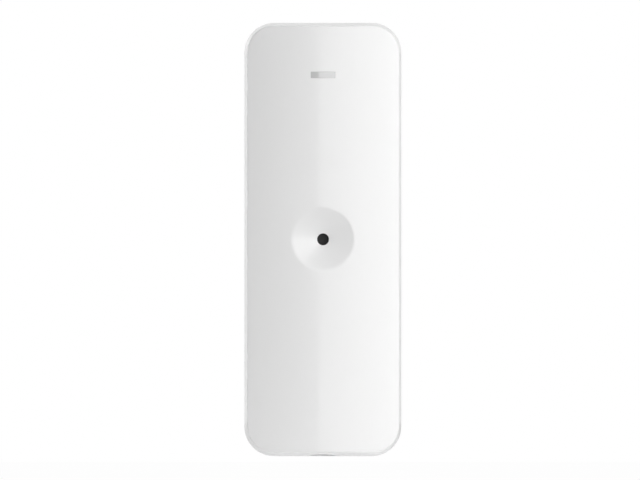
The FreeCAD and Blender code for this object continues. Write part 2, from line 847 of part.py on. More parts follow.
def battery_contact_negative():
    """The lower contact: a sheet with a leaf spring under the cell and a tail to the board."""
    sheet_z = (cradle_inner_bottom, cradle_inner_bottom + contact_sheet)
    sheet = box(around(0, contact_width), around(cell_depth, contact_width), sheet_z)
    crest = cell_bottom - cell_end_gap
    rise = crest - sheet_z[1]
    foot = contact_width / 2
    leaf = [(-foot, sheet_z[1]), (foot / 2, crest), (foot, crest - rise / 2),
            (foot - contact_sheet / 2, crest - rise / 2 - contact_sheet),
            (foot / 2, crest - contact_sheet), (-foot / 2, sheet_z[1])]
    leaf_start = cell_depth - contact_spring_width / 2
    spring = prism([at(x, leaf_start, z) for x, z in leaf], FORWARD, contact_spring_width)
    arm_x = (0, cradle_outer_radius + cradle_flange_width / 2)
    arm_rear = cell_depth - cradle_finger_back
    arm = box(arm_x, (arm_rear, arm_rear + cradle_finger_back - cradle_wall_back - running_gap), sheet_z)
    return joined(sheet, spring, arm, negative_tail(0.0))


def tamper_switch_body():
    """The body of the tamper switch on the rear of the board, bored for its plunger."""
    depths = (tamper_body_depth, board_rear_depth)
    body = box(around(tamper_x, tamper_body_size), depths, around(tamper_z, tamper_body_size))
    bore_end = tamper_body_depth + tamper_entry + tamper_travel + 2 * running_gap
    bore = post(tamper_plunger_radius + tamper_fit, tamper_x, tamper_z, (depths[0] - over, bore_end))
    return body.cut(bore)


def tamper_plunger():
    """The plunger that stands proud of the wall plate and is pushed in by the wall."""
    collar_top = tamper_collar_depth + tamper_collar_thickness
    profile = [(0, -tamper_plunger_proud), (tamper_plunger_radius, -tamper_plunger_proud),
               (tamper_plunger_radius, tamper_collar_depth),
               (tamper_collar_radius, tamper_collar_depth), (tamper_collar_radius, collar_top),
               (tamper_plunger_radius, collar_top),
               (tamper_plunger_radius, tamper_body_depth + tamper_entry),
               (0, tamper_body_depth + tamper_entry)]
    return turned(profile, tamper_x, tamper_z)


def tamper_spring():
    """The coil spring between the plunger's collar and the body of the tamper switch."""
    inset = tamper_spring_wire + running_gap
    start_depth = tamper_collar_depth + tamper_collar_thickness + inset
    length = tamper_body_depth - inset - start_depth
    start = at(tamper_x, start_depth, tamper_z)
    return coil(tamper_spring_radius, tamper_spring_wire, length / tamper_spring_turns,
                tamper_spring_turns, start, FORWARD)


def button_body(x, z, size, height, key_radius, key_room):
    """A square push button's body on the rear of the board, bored for its key."""
    rear = board_rear_depth - height
    body = box(around(x, size), (rear, board_rear_depth), around(z, size))
    return body.cut(post(key_radius + running_gap, x, z, (rear - over, rear + key_room)))


def enrol_button_body():
    """The body of the button that enrols the sensor."""
    room = enrol_key_entry + enrol_travel + running_gap
    return button_body(enrol_x, enrol_z, enrol_body_size, enrol_body_height, enrol_key_radius, room)


def enrol_button_key():
    """The round key of the enrol button."""
    rear = board_rear_depth - enrol_body_height
    return post(enrol_key_radius, enrol_x, enrol_z, (rear - enrol_key_proud, rear + enrol_key_entry))


def slide_slot(x, z, rear, width, length, travel, entry):
    """The slot that a sliding knob runs in, with the knob at its lower end at rest."""
    low = z - travel / 2 - length / 2 - running_gap
    high = z + travel / 2 + length / 2 + running_gap
    return box(around(x, width + 2 * running_gap), (rear - over, rear + entry + running_gap), (low, high))


def slide_knob(x, z, rear, width, length, travel, entry, proud):
    """A sliding knob at the lower end of its slot."""
    return box(around(x, width), (rear - proud, rear + entry), around(z - travel / 2, length))


def power_switch_body():
    """The body of the power slide switch."""
    rear = board_rear_depth - power_body_height
    body = box(around(power_x, power_body_width), (rear, board_rear_depth),
               around(power_z, power_body_length))
    return body.cut(slide_slot(power_x, power_z, rear, power_knob_width, power_knob_length,
                               power_travel, power_knob_entry))


def power_switch_slider():
    """The knob of the power slide switch."""
    rear = board_rear_depth - power_body_height
    return slide_knob(power_x, power_z, rear, power_knob_width, power_knob_length, power_travel,
                      power_knob_entry, power_knob_proud)


def sensitivity_places():
    """The two knobs of the sensitivity switch, as places across."""
    return around(sensitivity_x, sensitivity_pitch)


def sensitivity_switch_body():
    """The body of the two-way sensitivity switch."""
    rear = board_rear_depth - sensitivity_body_height
    body = box(around(sensitivity_x, sensitivity_body_width), (rear, board_rear_depth),
               around(sensitivity_z, sensitivity_body_length))
    for x in sensitivity_places():
        body = body.cut(slide_slot(x, sensitivity_z, rear, sensitivity_knob_width,
                                   sensitivity_knob_length, sensitivity_travel,
                                   sensitivity_knob_entry))
    return body


def sensitivity_slider(index):
    """One knob of the sensitivity switch."""
    rear = board_rear_depth - sensitivity_body_height
    return slide_knob(sensitivity_places()[index], sensitivity_z, rear, sensitivity_knob_width,
                      sensitivity_knob_length, sensitivity_travel, sensitivity_knob_entry,
                      sensitivity_knob_proud)


def radio_shield():
    """The folded can over the radio, open towards the board."""
    rear = board_rear_depth - shield_height
    can = slab(shield_width / 2, shield_length / 2, shield_corner_radius, (rear, board_rear_depth),
               shield_x, shield_z)
    room = slab(shield_width / 2 - shield_sheet, shield_length / 2 - shield_sheet,
                shield_corner_radius - shield_sheet,
                (rear + shield_sheet, board_rear_depth + over), shield_x, shield_z)
    return can.cut(room)


def antenna():
    """The folded strip antenna on the rear of the board: a run on two legs, with its tip turned in."""
    left, right = around(0, antenna_length)
    run = box((left, right), (antenna_rear_depth, antenna_rear_depth + antenna_sheet),
              around(antenna_z, antenna_strip))
    tip = box((right - antenna_sheet, right), (antenna_rear_depth, antenna_rear_depth + antenna_tip_fold),
              around(antenna_z, antenna_strip))
    leg_z = antenna_z - antenna_strip / 2
    legs = [box((x, x + antenna_leg_width), (antenna_rear_depth, board_rear_depth),
                (leg_z, leg_z + antenna_sheet))
            for x in (left, left + antenna_leg_pitch)]
    return joined(run, tip, *legs)


def storage_capacitor():
    """The round storage capacitor on its square base."""
    rear = board_rear_depth - capacitor_height
    base_rear = board_rear_depth - capacitor_base
    can = post(capacitor_radius, capacitor_x, capacitor_z, (rear, base_rear + root / 2))
    base = box(around(capacitor_x, 2 * capacitor_radius + 2 * capacitor_base_margin),
               (base_rear, board_rear_depth),
               around(capacitor_z, 2 * capacitor_radius + 2 * capacitor_base_margin))
    return joined(can, base)


def gull_lead(reach_from, height):
    """One bent lead, drawn along +X from a body's side, as a strip on the board."""
    foot = board_front_depth
    bend = reach_from + lead_reach / 2
    tip = reach_from + lead_reach
    points = [(reach_from - lead_sheet, foot + height), (bend, foot + height),
              (bend, foot + lead_sheet), (tip, foot + lead_sheet), (tip, foot),
              (bend - lead_sheet, foot), (bend - lead_sheet, foot + height - lead_sheet),
              (reach_from - lead_sheet, foot + height - lead_sheet)]
    return prism([at(x, depth, -lead_width / 2) for x, depth in points], UP, lead_width)


def packaged_chip(x, z, width, length, height, lead_count, pitch, quarter_turns):
    """A moulded chip on the front of the board, with bent leads on two or four sides."""
    depths = (board_front_depth + chip_standoff, board_front_depth + height)
    body = box(around(0, width), depths, around(0, length))
    body = body.makeChamfer(chip_standoff, [edge for edge in body.Edges if edge.BoundBox.YLength > 0.5])
    rows = []
    for turn in quarter_turns:
        for index in range(lead_count):
            lead = gull_lead(width / 2, height / 2)
            lead.translate(Vector(0, 0, (index - (lead_count - 1) / 2) * pitch))
            lead.rotate(Vector(0, 0, 0), Vector(0, 1, 0), 90 * turn)
            rows.append(lead)
    chip = joined(body, *rows)
    chip.translate(Vector(x, 0, z))
    return chip


def processor():
    """The square processor with leads on all four sides."""
    return packaged_chip(processor_x, processor_z, processor_size, processor_size, processor_height,
                         processor_lead_count, processor_pitch, (0, 1, 2, 3))


def amplifier():
    """The microphone amplifier with four leads on each long side."""
    return packaged_chip(amplifier_x, amplifier_z, amplifier_width, amplifier_length,
                         amplifier_height, amplifier_lead_count, amplifier_pitch, (0, 2))


def status_led():
    """The indicator lamp behind the light pipe."""
    base_top = board_front_depth + led_base
    base = box(around(0, led_width), (board_front_depth, base_top), around(window_z, led_depth))
    lens = box(around(0, led_width - 2 * led_lens), (base_top - led_lens / 2, base_top + led_lens),
               around(window_z, led_depth - led_lens))
    return joined(base, lens)


def crystal():
    """The oblong crystal can on its flange."""
    top = board_front_depth + crystal_height
    can = slab(crystal_radius, crystal_length / 2, crystal_corner_radius, (board_front_depth, top),
               crystal_x, crystal_z)
    flange = box(around(crystal_x, 2 * (crystal_radius + crystal_flange)),
                 (board_front_depth, board_front_depth + crystal_flange),
                 around(crystal_z, crystal_length + 2 * crystal_flange))
    return joined(can, flange)


def chip_components():
    """The small resistors and capacitors in a column along each edge of the board."""
    depths = (board_front_depth, board_front_depth + chip_part_height)
    chips = []
    for side in (-1, 1):
        for row in range(chip_part_rows):
            z = board_top - chip_part_from_top - row * chip_part_pitch
            x = side * (board_half_width - chip_part_from_edge)
            chips.append(box(around(x, chip_part_length), depths, around(z, chip_part_width)))
    return Part.makeCompound(chips)


PIECES = {
    "front_cover": front_cover,
    "rear_cover": rear_cover,
    "cover_screw": cover_screw,
    "light_pipe": light_pipe,
    "mic_mesh": mic_mesh,
    "mic_boot": mic_boot,
    "microphone": microphone,
    "circuit_board": circuit_board,
    "board_screws": board_screws,
    "battery_cradle": battery_cradle,
    "battery": battery,
    "battery_contact_positive": battery_contact_positive,
    "battery_contact_negative": battery_contact_negative,
    "tamper_switch_body": tamper_switch_body,
    "tamper_plunger": tamper_plunger,
    "tamper_spring": tamper_spring,
    "enrol_button_body": enrol_button_body,
    "enrol_button_key": enrol_button_key,
    "power_switch_body": power_switch_body,
    "power_switch_slider": power_switch_slider,
    "sensitivity_switch_body": sensitivity_switch_body,
    "sensitivity_slider_1": lambda: sensitivity_slider(0),
    "sensitivity_slider_2": lambda: sensitivity_slider(1),
    "radio_shield": radio_shield,
    "antenna": antenna,
    "storage_capacitor": storage_capacitor,
    "processor": processor,
    "amplifier": amplifier,
    "status_led": status_led,
    "crystal": crystal,
    "chip_components": chip_components,
}


def main():
    """Make every piece and write it to its own file."""
    os.makedirs("parts", exist_ok=True)
    for name, make in PIECES.items():
        shape = make()
        if len(shape.Solids) == 1:
            shape = shape.Solids[0]
        shape.exportStep(os.path.join("parts", name + ".step"))
        print(name, "solids", len(shape.Solids), "volume", round(shape.Volume, 2), "valid", shape.isValid())
    print("case", case_width, round(case_height, 3), round(case_depth, 3))


main()
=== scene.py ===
"""Looks for a slim glass break sensor: its finishes, its modelled pieces, the light and the camera.

Metres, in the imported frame: +X is to the right as seen from the front, +Z is up and -Y points out
of the wall. A depth is a distance forward of the wall, so that y = -depth.
"""

import json
import logging
import math
from contextlib import contextmanager
from dataclasses import dataclass, field
from enum import Enum
from typing import Callable, Iterator, Sequence, Union

import bmesh
import bpy
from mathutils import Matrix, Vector

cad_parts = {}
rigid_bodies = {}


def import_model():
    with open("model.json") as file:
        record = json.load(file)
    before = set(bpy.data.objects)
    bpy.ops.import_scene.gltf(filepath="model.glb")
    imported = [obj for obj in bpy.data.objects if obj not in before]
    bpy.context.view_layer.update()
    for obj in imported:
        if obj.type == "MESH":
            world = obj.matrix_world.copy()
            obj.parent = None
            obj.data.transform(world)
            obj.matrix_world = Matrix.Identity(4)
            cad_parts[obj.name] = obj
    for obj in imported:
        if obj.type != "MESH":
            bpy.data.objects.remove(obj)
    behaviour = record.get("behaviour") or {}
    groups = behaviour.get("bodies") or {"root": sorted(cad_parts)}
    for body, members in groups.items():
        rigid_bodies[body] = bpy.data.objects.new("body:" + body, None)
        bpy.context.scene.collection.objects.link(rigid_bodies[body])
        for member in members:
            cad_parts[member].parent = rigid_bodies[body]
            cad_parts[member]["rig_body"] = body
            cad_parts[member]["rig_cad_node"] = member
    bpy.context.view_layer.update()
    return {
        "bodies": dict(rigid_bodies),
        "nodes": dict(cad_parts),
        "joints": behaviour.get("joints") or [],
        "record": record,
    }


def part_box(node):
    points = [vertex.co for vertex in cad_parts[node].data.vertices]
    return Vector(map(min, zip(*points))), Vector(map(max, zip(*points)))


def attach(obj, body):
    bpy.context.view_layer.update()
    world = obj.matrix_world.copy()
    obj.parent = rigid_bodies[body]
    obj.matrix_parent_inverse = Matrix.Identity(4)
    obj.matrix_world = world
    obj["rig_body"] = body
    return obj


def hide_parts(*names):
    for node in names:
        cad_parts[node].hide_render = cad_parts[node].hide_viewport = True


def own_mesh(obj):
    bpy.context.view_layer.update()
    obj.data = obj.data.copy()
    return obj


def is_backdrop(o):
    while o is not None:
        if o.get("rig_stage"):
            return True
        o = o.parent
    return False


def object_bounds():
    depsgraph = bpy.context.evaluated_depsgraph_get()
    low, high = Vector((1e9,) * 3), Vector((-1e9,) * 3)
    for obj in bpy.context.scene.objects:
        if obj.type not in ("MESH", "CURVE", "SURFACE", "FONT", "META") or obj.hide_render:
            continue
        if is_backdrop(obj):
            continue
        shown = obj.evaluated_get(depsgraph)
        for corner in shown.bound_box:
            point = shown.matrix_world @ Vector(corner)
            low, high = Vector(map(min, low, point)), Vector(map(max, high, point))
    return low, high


MM = 0.001
PIXEL = 0.26771 * MM
MERGE_DISTANCE = 0.0005 * MM
CORNER_STEPS = 3
WHITE = (1.0, 1.0, 1.0, 1.0)
UP = Vector((0.0, 0.0, 1.0))
LOG = logging.getLogger("glass_break_sensor")

Input = Union["Signal", float, Sequence[float]]
Inputs = dict[Union[int, str], Input]
Triple = tuple[float, float, float]
Settings = tuple[tuple[str, float], ...]
Place = Callable[[Vector], Vector]
Piece = bpy.types.Object


class Slot(Enum):
    """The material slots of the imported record."""

    COVER = "cover_plastic"
    PLATE = "plate_plastic"
    LENS = "lens_plastic"
    CLOTH = "mesh_cloth"
    BOOT = "boot_rubber"
    CAPSULE = "capsule_metal"
    LAMINATE = "board_laminate"
    SCREW = "screw_steel"
    CRADLE = "cradle_plastic"
    WRAP = "cell_wrap"
    CONTACT = "contact_metal"
    SWITCH = "switch_plastic"
    KNOB = "knob_plastic"
    SHIELD = "shield_metal"
    ANTENNA = "antenna_metal"
    CHIP = "chip_plastic"
    LAMP = "lamp_plastic"
    CAN = "can_metal"
    CERAMIC = "ceramic"


class Part(Enum):
    """What an edit-mode selection is made of."""

    VERT = "verts"
    EDGE = "edges"


@dataclass(frozen=True)
class Signal:
    """One shader socket, combined with others by Python's own operators."""

    graph: "Graph"
    socket: bpy.types.NodeSocket

    def _math(self, operation: str, first: Input, second: Input = 0.0) -> "Signal":
        """A Math node on two values or links."""
        return self.graph.signal("ShaderNodeMath", {"operation": operation}, {0: first, 1: second})

    def __add__(self, other: Input) -> "Signal":
        """The sum of two values."""
        return self._math("ADD", self, other)

    __radd__ = __add__

    def __sub__(self, other: Input) -> "Signal":
        """This value less another."""
        return self._math("SUBTRACT", self, other)

    def __rsub__(self, other: Input) -> "Signal":
        """Another value less this one."""
        return self._math("SUBTRACT", other, self)

    def __mul__(self, other: Input) -> "Signal":
        """The product of two values."""
        return self._math("MULTIPLY", self, other)

    __rmul__ = __mul__

    def __gt__(self, other: Input) -> "Signal":
        """One where this value is greater, and otherwise nothing."""
        return self._math("GREATER_THAN", self, other)

    def wave(self) -> "Signal":
        """The sine of the value."""
        return self._math("SINE", self)


class Graph:
    """The node tree of a material or of the world, written as Python calls."""

    def __init__(self, tree: bpy.types.NodeTree) -> None:
        """Take over a tree and empty it."""
        self.tree = tree
        tree.nodes.clear()

    def node(self, kind: str, settings: dict[str, object], inputs: Inputs) -> bpy.types.Node:
        """Add any node.

        Args:
            kind: The node's Blender type.
            settings: Its own settings, set first.
            inputs: The values or links of its sockets, by name or number.

        Returns:
            The new node.
        """
        made = self.tree.nodes.new(kind)
        for name, value in settings.items():
            setattr(made, name, value)
        for key, value in inputs.items():
            if isinstance(value, Signal):
                self.tree.links.new(value.socket, made.inputs[key])
            else:
                made.inputs[key].default_value = value
        return made

    def signal(self, kind: str, settings: dict[str, object], inputs: Inputs,
               output: Union[int, str] = 0) -> Signal:
        """Add any node and take one of its outputs.

        Args:
            kind: The node's Blender type.
            settings: Its own settings.
            inputs: The values or links of its sockets.
            output: The name or number of the output.

        Returns:
            The output as a signal.
        """
        return Signal(self, self.node(kind, settings, inputs).outputs[output])

    def place(self) -> Signal:
        """The point's own place on its piece, in metres."""
        return self.signal("ShaderNodeTexCoord", {}, {}, "Object")

    def along(self, axis: int) -> Signal:
        """One coordinate of the point's own place."""
        return self.signal("ShaderNodeSeparateXYZ", {}, {0: self.place()}, axis)

    def ray(self, kind: str) -> Signal:
        """One for rays of a kind, and nothing for others."""
        return self.signal("ShaderNodeLightPath", {}, {}, kind)

    def noise(self, size: float, detail: float = 2.0, place: Signal | None = None) -> Signal:
        """Even noise between nothing and one.

        Args:
            size: The size of its blotches, in metres.
            detail: How much finer noise is added.
            place: The point it is read at, or the point's own place.

        Returns:
            The noise.
        """
        inputs = {"Vector": place or self.place(), "Scale": 1.0 / size, "Detail": detail}
        return self.signal("ShaderNodeTexNoise", {}, inputs)

    def blend(self, mask: Input, low: Input, high: Input) -> Signal:
        """A colour between two, by a mask.

        Args:
            mask: Nothing where the first colour shows, and one where the second does.
            low: The first colour.
            high: The second colour.

        Returns:
            The mixed colour.
        """
        first, second = (colour if isinstance(colour, Signal) else (*colour, 1.0)
                         for colour in (low, high))
        return self.signal("ShaderNodeMix", {"data_type": "RGBA"}, {0: mask, 6: first, 7: second}, 2)

    def bump(self, height: Signal, depth: float) -> Signal:
        """A normal bent by a height between nothing and one.

        Args:
            height: The height.
            depth: How deep the whole range of the height is, in metres.

        Returns:
            The bent normal.
        """
        return self.signal("ShaderNodeBump", {}, {"Height": height, "Distance": depth,
                                                  "Strength": 1.0}, "Normal")


def tinted(colour: Triple, factor: float) -> Triple:
    """A colour made lighter or darker by a factor."""
    return tuple(min(1.0, channel * factor) for channel in colour)


@dataclass(frozen=True)
class Finish:
    """A surface with its own colour, gloss and fine relief."""

    slot: Slot
    colour: Triple
    roughness: float = 0.4
    colour_spread: float = 0.03
    roughness_spread: float = 0.05
    blotch: float = 6.0 * MM
    grain: float = 0.4 * MM
    grain_depth: float = 0.0
    settings: Settings = ()

    def build(self) -> bpy.types.Material:
        """Make the material.

        Returns:
            The material, named after its slot.
        """
        material = bpy.data.materials.new("finish_" + self.slot.value)
        material.use_nodes = True
        graph = Graph(material.node_tree)
        inputs = {"Base Color": self.base(graph), "Roughness": self.gloss(graph),
                  **dict(self.settings)}
        for socket, signal in (("Normal", self.relief(graph)), ("Metallic", self.metal(graph))):
            if signal is not None:
                inputs[socket] = signal
        shader = graph.signal("ShaderNodeBsdfPrincipled", {}, inputs)
        graph.node("ShaderNodeOutputMaterial", {}, {"Surface": shader})
        return material

    def base(self, graph: Graph) -> Signal:
        """The colour, a little uneven from place to place."""
        return graph.blend(graph.noise(self.blotch), tinted(self.colour, 1 - self.colour_spread),
                           tinted(self.colour, 1 + self.colour_spread))

    def gloss(self, graph: Graph) -> Signal:
        """The roughness, a little uneven from place to place."""
        return graph.noise(self.blotch / 2) * self.roughness_spread + (
            self.roughness - self.roughness_spread / 2)

    def relief(self, graph: Graph) -> Signal | None:
        """The fine relief of the surface, or none."""
        if self.grain_depth <= 0:
            return None
        return graph.bump(graph.noise(self.grain, 3.0), self.grain_depth)

    def metal(self, graph: Graph) -> Signal | None:
        """Where the surface is bare metal, or none where it is the same all over."""
        return None


@dataclass(frozen=True)
class Woven(Finish):
    """A fine square weave of threads."""

    thread: float = 0.16 * MM

    def relief(self, graph: Graph) -> Signal:
        """Threads that pass over and under each other."""
        across = graph.along(0) * (math.tau / self.thread)
        upward = graph.along(2) * (math.tau / self.thread)
        return graph.bump(across.wave() * upward.wave(), self.grain_depth)


@dataclass(frozen=True)
class Brushed(Finish):
    """Metal with fine lines along one axis."""

    stretch: float = 12.0

    def relief(self, graph: Graph) -> Signal:
        """Fine lines that run along Z."""
        mapped = graph.signal("ShaderNodeMapping", {}, {"Vector": graph.place(),
                                                        "Scale": (1.0, 1.0, 1.0 / self.stretch)})
        return graph.bump(graph.noise(self.grain, 3.0, mapped), self.grain_depth)


@dataclass(frozen=True)
class Laminate(Finish):
    """Solder mask over copper tracks, which run upward in some fields and across in others."""

    track: float = 1.0 * MM
    track_share: float = 0.3
    track_tint: float = 1.5
    field_size: float = 14.0 * MM

    def base(self, graph: Graph) -> Signal:
        """The mask, paler where a track runs under it."""
        return graph.blend(self.tracks(graph), self.colour, tinted(self.colour, self.track_tint))

    def stripes(self, graph: Graph, axis: int) -> Signal:
        """One on the stripes that repeat along an axis."""
        return (graph.along(axis) * (math.tau / self.track)).wave() > 1 - 2 * self.track_share

    def tracks(self, graph: Graph) -> Signal:
        """One on the tracks."""
        upward = graph.noise(self.field_size, 0.0) > 0.5
        return upward * self.stripes(graph, 0) + (1.0 - upward) * self.stripes(graph, 2)

    def relief(self, graph: Graph) -> Signal:
        """The tracks stand a little proud."""
        return graph.bump(self.tracks(graph), self.grain_depth)


@dataclass(frozen=True)
class Wrapper(Finish):
    """A cell's printed wrapper: two plain fields of colour under a bare steel cap."""

    second: Triple = (0.6, 0.6, 0.6)
    border: float = -17.0 * MM
    cap_height: float = -11.0 * MM
    steel: Triple = (0.72, 0.72, 0.70)

    def base(self, graph: Graph) -> Signal:
        """The lower colour, the upper one above the border, and steel on the cap."""
        wrapped = graph.blend(graph.along(2) > self.border, self.colour, self.second)
        return graph.blend(self.metal(graph), wrapped, self.steel)

    def metal(self, graph: Graph) -> Signal:
        """Bare metal above the wrapper's end."""
        return graph.along(2) > self.cap_height


def coat(weight: float, roughness: float) -> Settings:
    """The settings of a clear coat."""
    return (("Coat Weight", weight), ("Coat Roughness", roughness))


METAL: Settings = (("Metallic", 1.0),)
# Each row: slot, colour, roughness, how much the colour and the roughness vary, the size of their
# blotches, the size of the grain, its depth, and the shader's fixed settings.
FINISHES: tuple[Finish, ...] = (
    Finish(Slot.COVER, (0.80, 0.80, 0.80), 0.38, 0.004, 0.02, 9 * MM, 1.6 * MM, 0.0003 * MM,
           (("Specular IOR Level", 1.0), *coat(0.3, 0.02))),
    Finish(Slot.PLATE, (0.78, 0.78, 0.78), 0.48, 0.01, 0.06, 6 * MM, 0.35 * MM, 0.012 * MM),
    Finish(Slot.LENS, (0.52, 0.52, 0.52), 0.03, 0.02, 0.01, 3 * MM, 0.8 * MM, 0.0,
           (("Specular IOR Level", 0.6), *coat(0.3, 0.01))),
    Woven(Slot.CLOTH, (0.042, 0.042, 0.042), 0.7, 0.1, 0.1, 1 * MM, 0.16 * MM, 0.05 * MM,
          (("Specular IOR Level", 0.3),)),
    Finish(Slot.BOOT, (0.03, 0.03, 0.03), 0.65, 0.1, 0.1, 4 * MM, 0.3 * MM, 0.01 * MM),
    Brushed(Slot.CAPSULE, (0.75, 0.75, 0.76), 0.28, 0.03, 0.08, 4 * MM, 0.1 * MM, 0.002 * MM, METAL),
    Laminate(Slot.LAMINATE, (0.02, 0.20, 0.08), 0.3, 0.05, 0.05, 6 * MM, 0.3 * MM, 0.03 * MM,
             coat(0.6, 0.15)),
    Brushed(Slot.SCREW, (0.62, 0.62, 0.64), 0.3, 0.05, 0.12, 2 * MM, 0.08 * MM, 0.002 * MM, METAL),
    Finish(Slot.CRADLE, (0.05, 0.05, 0.05), 0.5, 0.08, 0.08, 6 * MM, 0.3 * MM, 0.01 * MM),
    Wrapper(Slot.WRAP, (0.11, 0.13, 0.17), 0.25, 0.03, 0.05, 6 * MM, 0.5 * MM, 0.0,
            coat(0.5, 0.1)),
    Finish(Slot.CONTACT, (0.78, 0.77, 0.74), 0.2, 0.04, 0.1, 3 * MM, 0.1 * MM, 0.001 * MM, METAL),
    Finish(Slot.SWITCH, (0.045, 0.045, 0.05), 0.45, 0.08, 0.08, 3 * MM, 0.2 * MM, 0.006 * MM),
    Finish(Slot.KNOB, (0.78, 0.78, 0.75), 0.38, 0.02, 0.06, 3 * MM, 0.2 * MM, 0.004 * MM),
    Brushed(Slot.SHIELD, (0.70, 0.70, 0.68), 0.32, 0.05, 0.12, 5 * MM, 0.1 * MM, 0.002 * MM, METAL),
    Finish(Slot.ANTENNA, (0.80, 0.62, 0.30), 0.25, 0.05, 0.1, 3 * MM, 0.1 * MM, 0.001 * MM, METAL),
    Finish(Slot.CHIP, (0.03, 0.03, 0.03), 0.55, 0.08, 0.08, 2 * MM, 0.12 * MM, 0.006 * MM),
    Finish(Slot.LAMP, (0.85, 0.83, 0.72), 0.15, 0.03, 0.04, 1 * MM, 0.2 * MM, 0.0,
           coat(0.8, 0.05)),
    Finish(Slot.CAN, (0.78, 0.78, 0.79), 0.22, 0.03, 0.08, 3 * MM, 0.1 * MM, 0.001 * MM, METAL),
    Finish(Slot.CERAMIC, (0.45, 0.37, 0.27), 0.5, 0.12, 0.08, 1 * MM, 0.1 * MM, 0.004 * MM),
)


@contextmanager
def editing(piece: Piece) -> Iterator[None]:
    """Edit mode on one piece, with nothing selected at first.

    Args:
        piece: The piece to edit.
    """
    only(piece)
    bpy.ops.object.mode_set(mode="EDIT")
    bpy.ops.mesh.select_all(action="DESELECT")
    yield
    bpy.ops.object.mode_set(mode="OBJECT")


def only(*pieces: Piece) -> None:
    """Select these pieces and no others, with the first one active."""
    bpy.ops.object.select_all(action="DESELECT")
    for piece in pieces:
        piece.select_set(True)
    bpy.context.view_layer.objects.active = pieces[0]


def select_all() -> None:
    """Select all of the piece in edit mode."""
    bpy.ops.mesh.select_all(action="SELECT")


def modify(piece: Piece, kind: str, **settings: object) -> None:
    """Give a piece a modifier and apply it.

    Args:
        piece: The piece.
        kind: The modifier's Blender type.
        settings: The modifier's own settings.
    """
    only(piece)
    bpy.ops.object.modifier_add(type=kind)
    modifier = piece.modifiers[-1]
    for name, value in settings.items():
        setattr(modifier, name, value)
    bpy.ops.object.modifier_apply(modifier=modifier.name)


def pick(piece: Piece, kind: Part, test: Callable[[object], bool]) -> None:
    """Select the elements of the piece in edit mode that pass a test.

    Args:
        piece: The piece in edit mode.
        kind: Vertices or edges.
        test: Whether an element is wanted.
    """
    bpy.ops.mesh.select_mode(type=kind.name)
    bpy.ops.mesh.select_all(action="DESELECT")
    mesh = bmesh.from_edit_mesh(piece.data)
    for element in getattr(mesh, kind.value):
        element.select_set(test(element))
    mesh.select_flush_mode()
    bmesh.update_edit_mesh(piece.data)


def shape(piece: Piece, place: Place) -> None:
    """Move each selected vertex of the piece in edit mode to its place by a formula."""
    mesh = bmesh.from_edit_mesh(piece.data)
    for vertex in mesh.verts:
        if vertex.select:
            vertex.co = place(vertex.co)
    bmesh.update_edit_mesh(piece.data)


def extrude_to(piece: Piece, place: Place) -> None:
    """Extrude the selected loop of edges and move the new loop by a formula."""
    bpy.ops.mesh.extrude_edges_move(TRANSFORM_OT_translate={"value": (0.0, 0.0, 0.0)})
    shape(piece, place)


def is_open(edge: bmesh.types.BMEdge) -> bool:
    """Whether an edge has a face on one side only."""
    return len(edge.link_faces) == 1


def runs_along_y(edge: bmesh.types.BMEdge) -> bool:
    """Whether an edge of an upright block runs from its back to its front."""
    return abs(edge.verts[0].co.y - edge.verts[1].co.y) > MERGE_DISTANCE


def span_from_axis(edge: bmesh.types.BMEdge) -> float:
    """How far an edge's first end is from the axis through the port."""
    return math.hypot(edge.verts[0].co.x, edge.verts[0].co.z)


def combine(piece: Piece, tool: Piece, operation: str) -> None:
    """Join, cut or trim a piece with a closed tool, and remove the tool.

    Args:
        piece: The piece that is changed.
        tool: The closed mesh that it is combined with.
        operation: UNION, DIFFERENCE or INTERSECT.
    """
    modify(piece, "BOOLEAN", operation=operation, solver="EXACT", object=tool)
    bpy.data.objects.remove(tool)


def settle(piece: Piece) -> None:
    """Put a piece's place into its mesh, so that its object sits at the origin."""
    only(piece)
    bpy.ops.object.transform_apply(location=True, rotation=True, scale=True)


def block(low: Vector, high: Vector, edge_round: float = 0.0) -> Piece:
    """A block between two corners, with its edges along Y rounded.

    Args:
        low: The lowest corner.
        high: The highest corner.
        edge_round: The radius of the four edges that run along Y.

    Returns:
        The block.
    """
    bpy.ops.mesh.primitive_cube_add(size=1.0, location=(low + high) / 2)
    made = bpy.context.object
    made.scale = high - low
    settle(made)
    if edge_round > 0:
        with editing(made):
            pick(made, Part.EDGE, runs_along_y)
            bpy.ops.mesh.bevel(offset=edge_round, offset_type="OFFSET", segments=CORNER_STEPS)
    return made


def soft_rim(radius: float, along: float, reach: float, closing: bool = False,
             steps: int = 6) -> list[tuple[float, float]]:
    """The rings of a rounded rim between an end face and a side.

    Args:
        radius: The radius of the side.
        along: Where the end face is.
        reach: The radius of the round.
        closing: Whether the end face is the far one.
        steps: How many steps the round has.

    Returns:
        The radius and the place along the axis of each ring, in order along the axis.
    """
    sign = -1 if closing else 1
    rings = [(radius - reach * (1 - math.sin(math.pi / 2 * step / steps)),
              along + sign * reach * (1 - math.cos(math.pi / 2 * step / steps)))
             for step in range(steps + 1)]
    return rings[::sign]


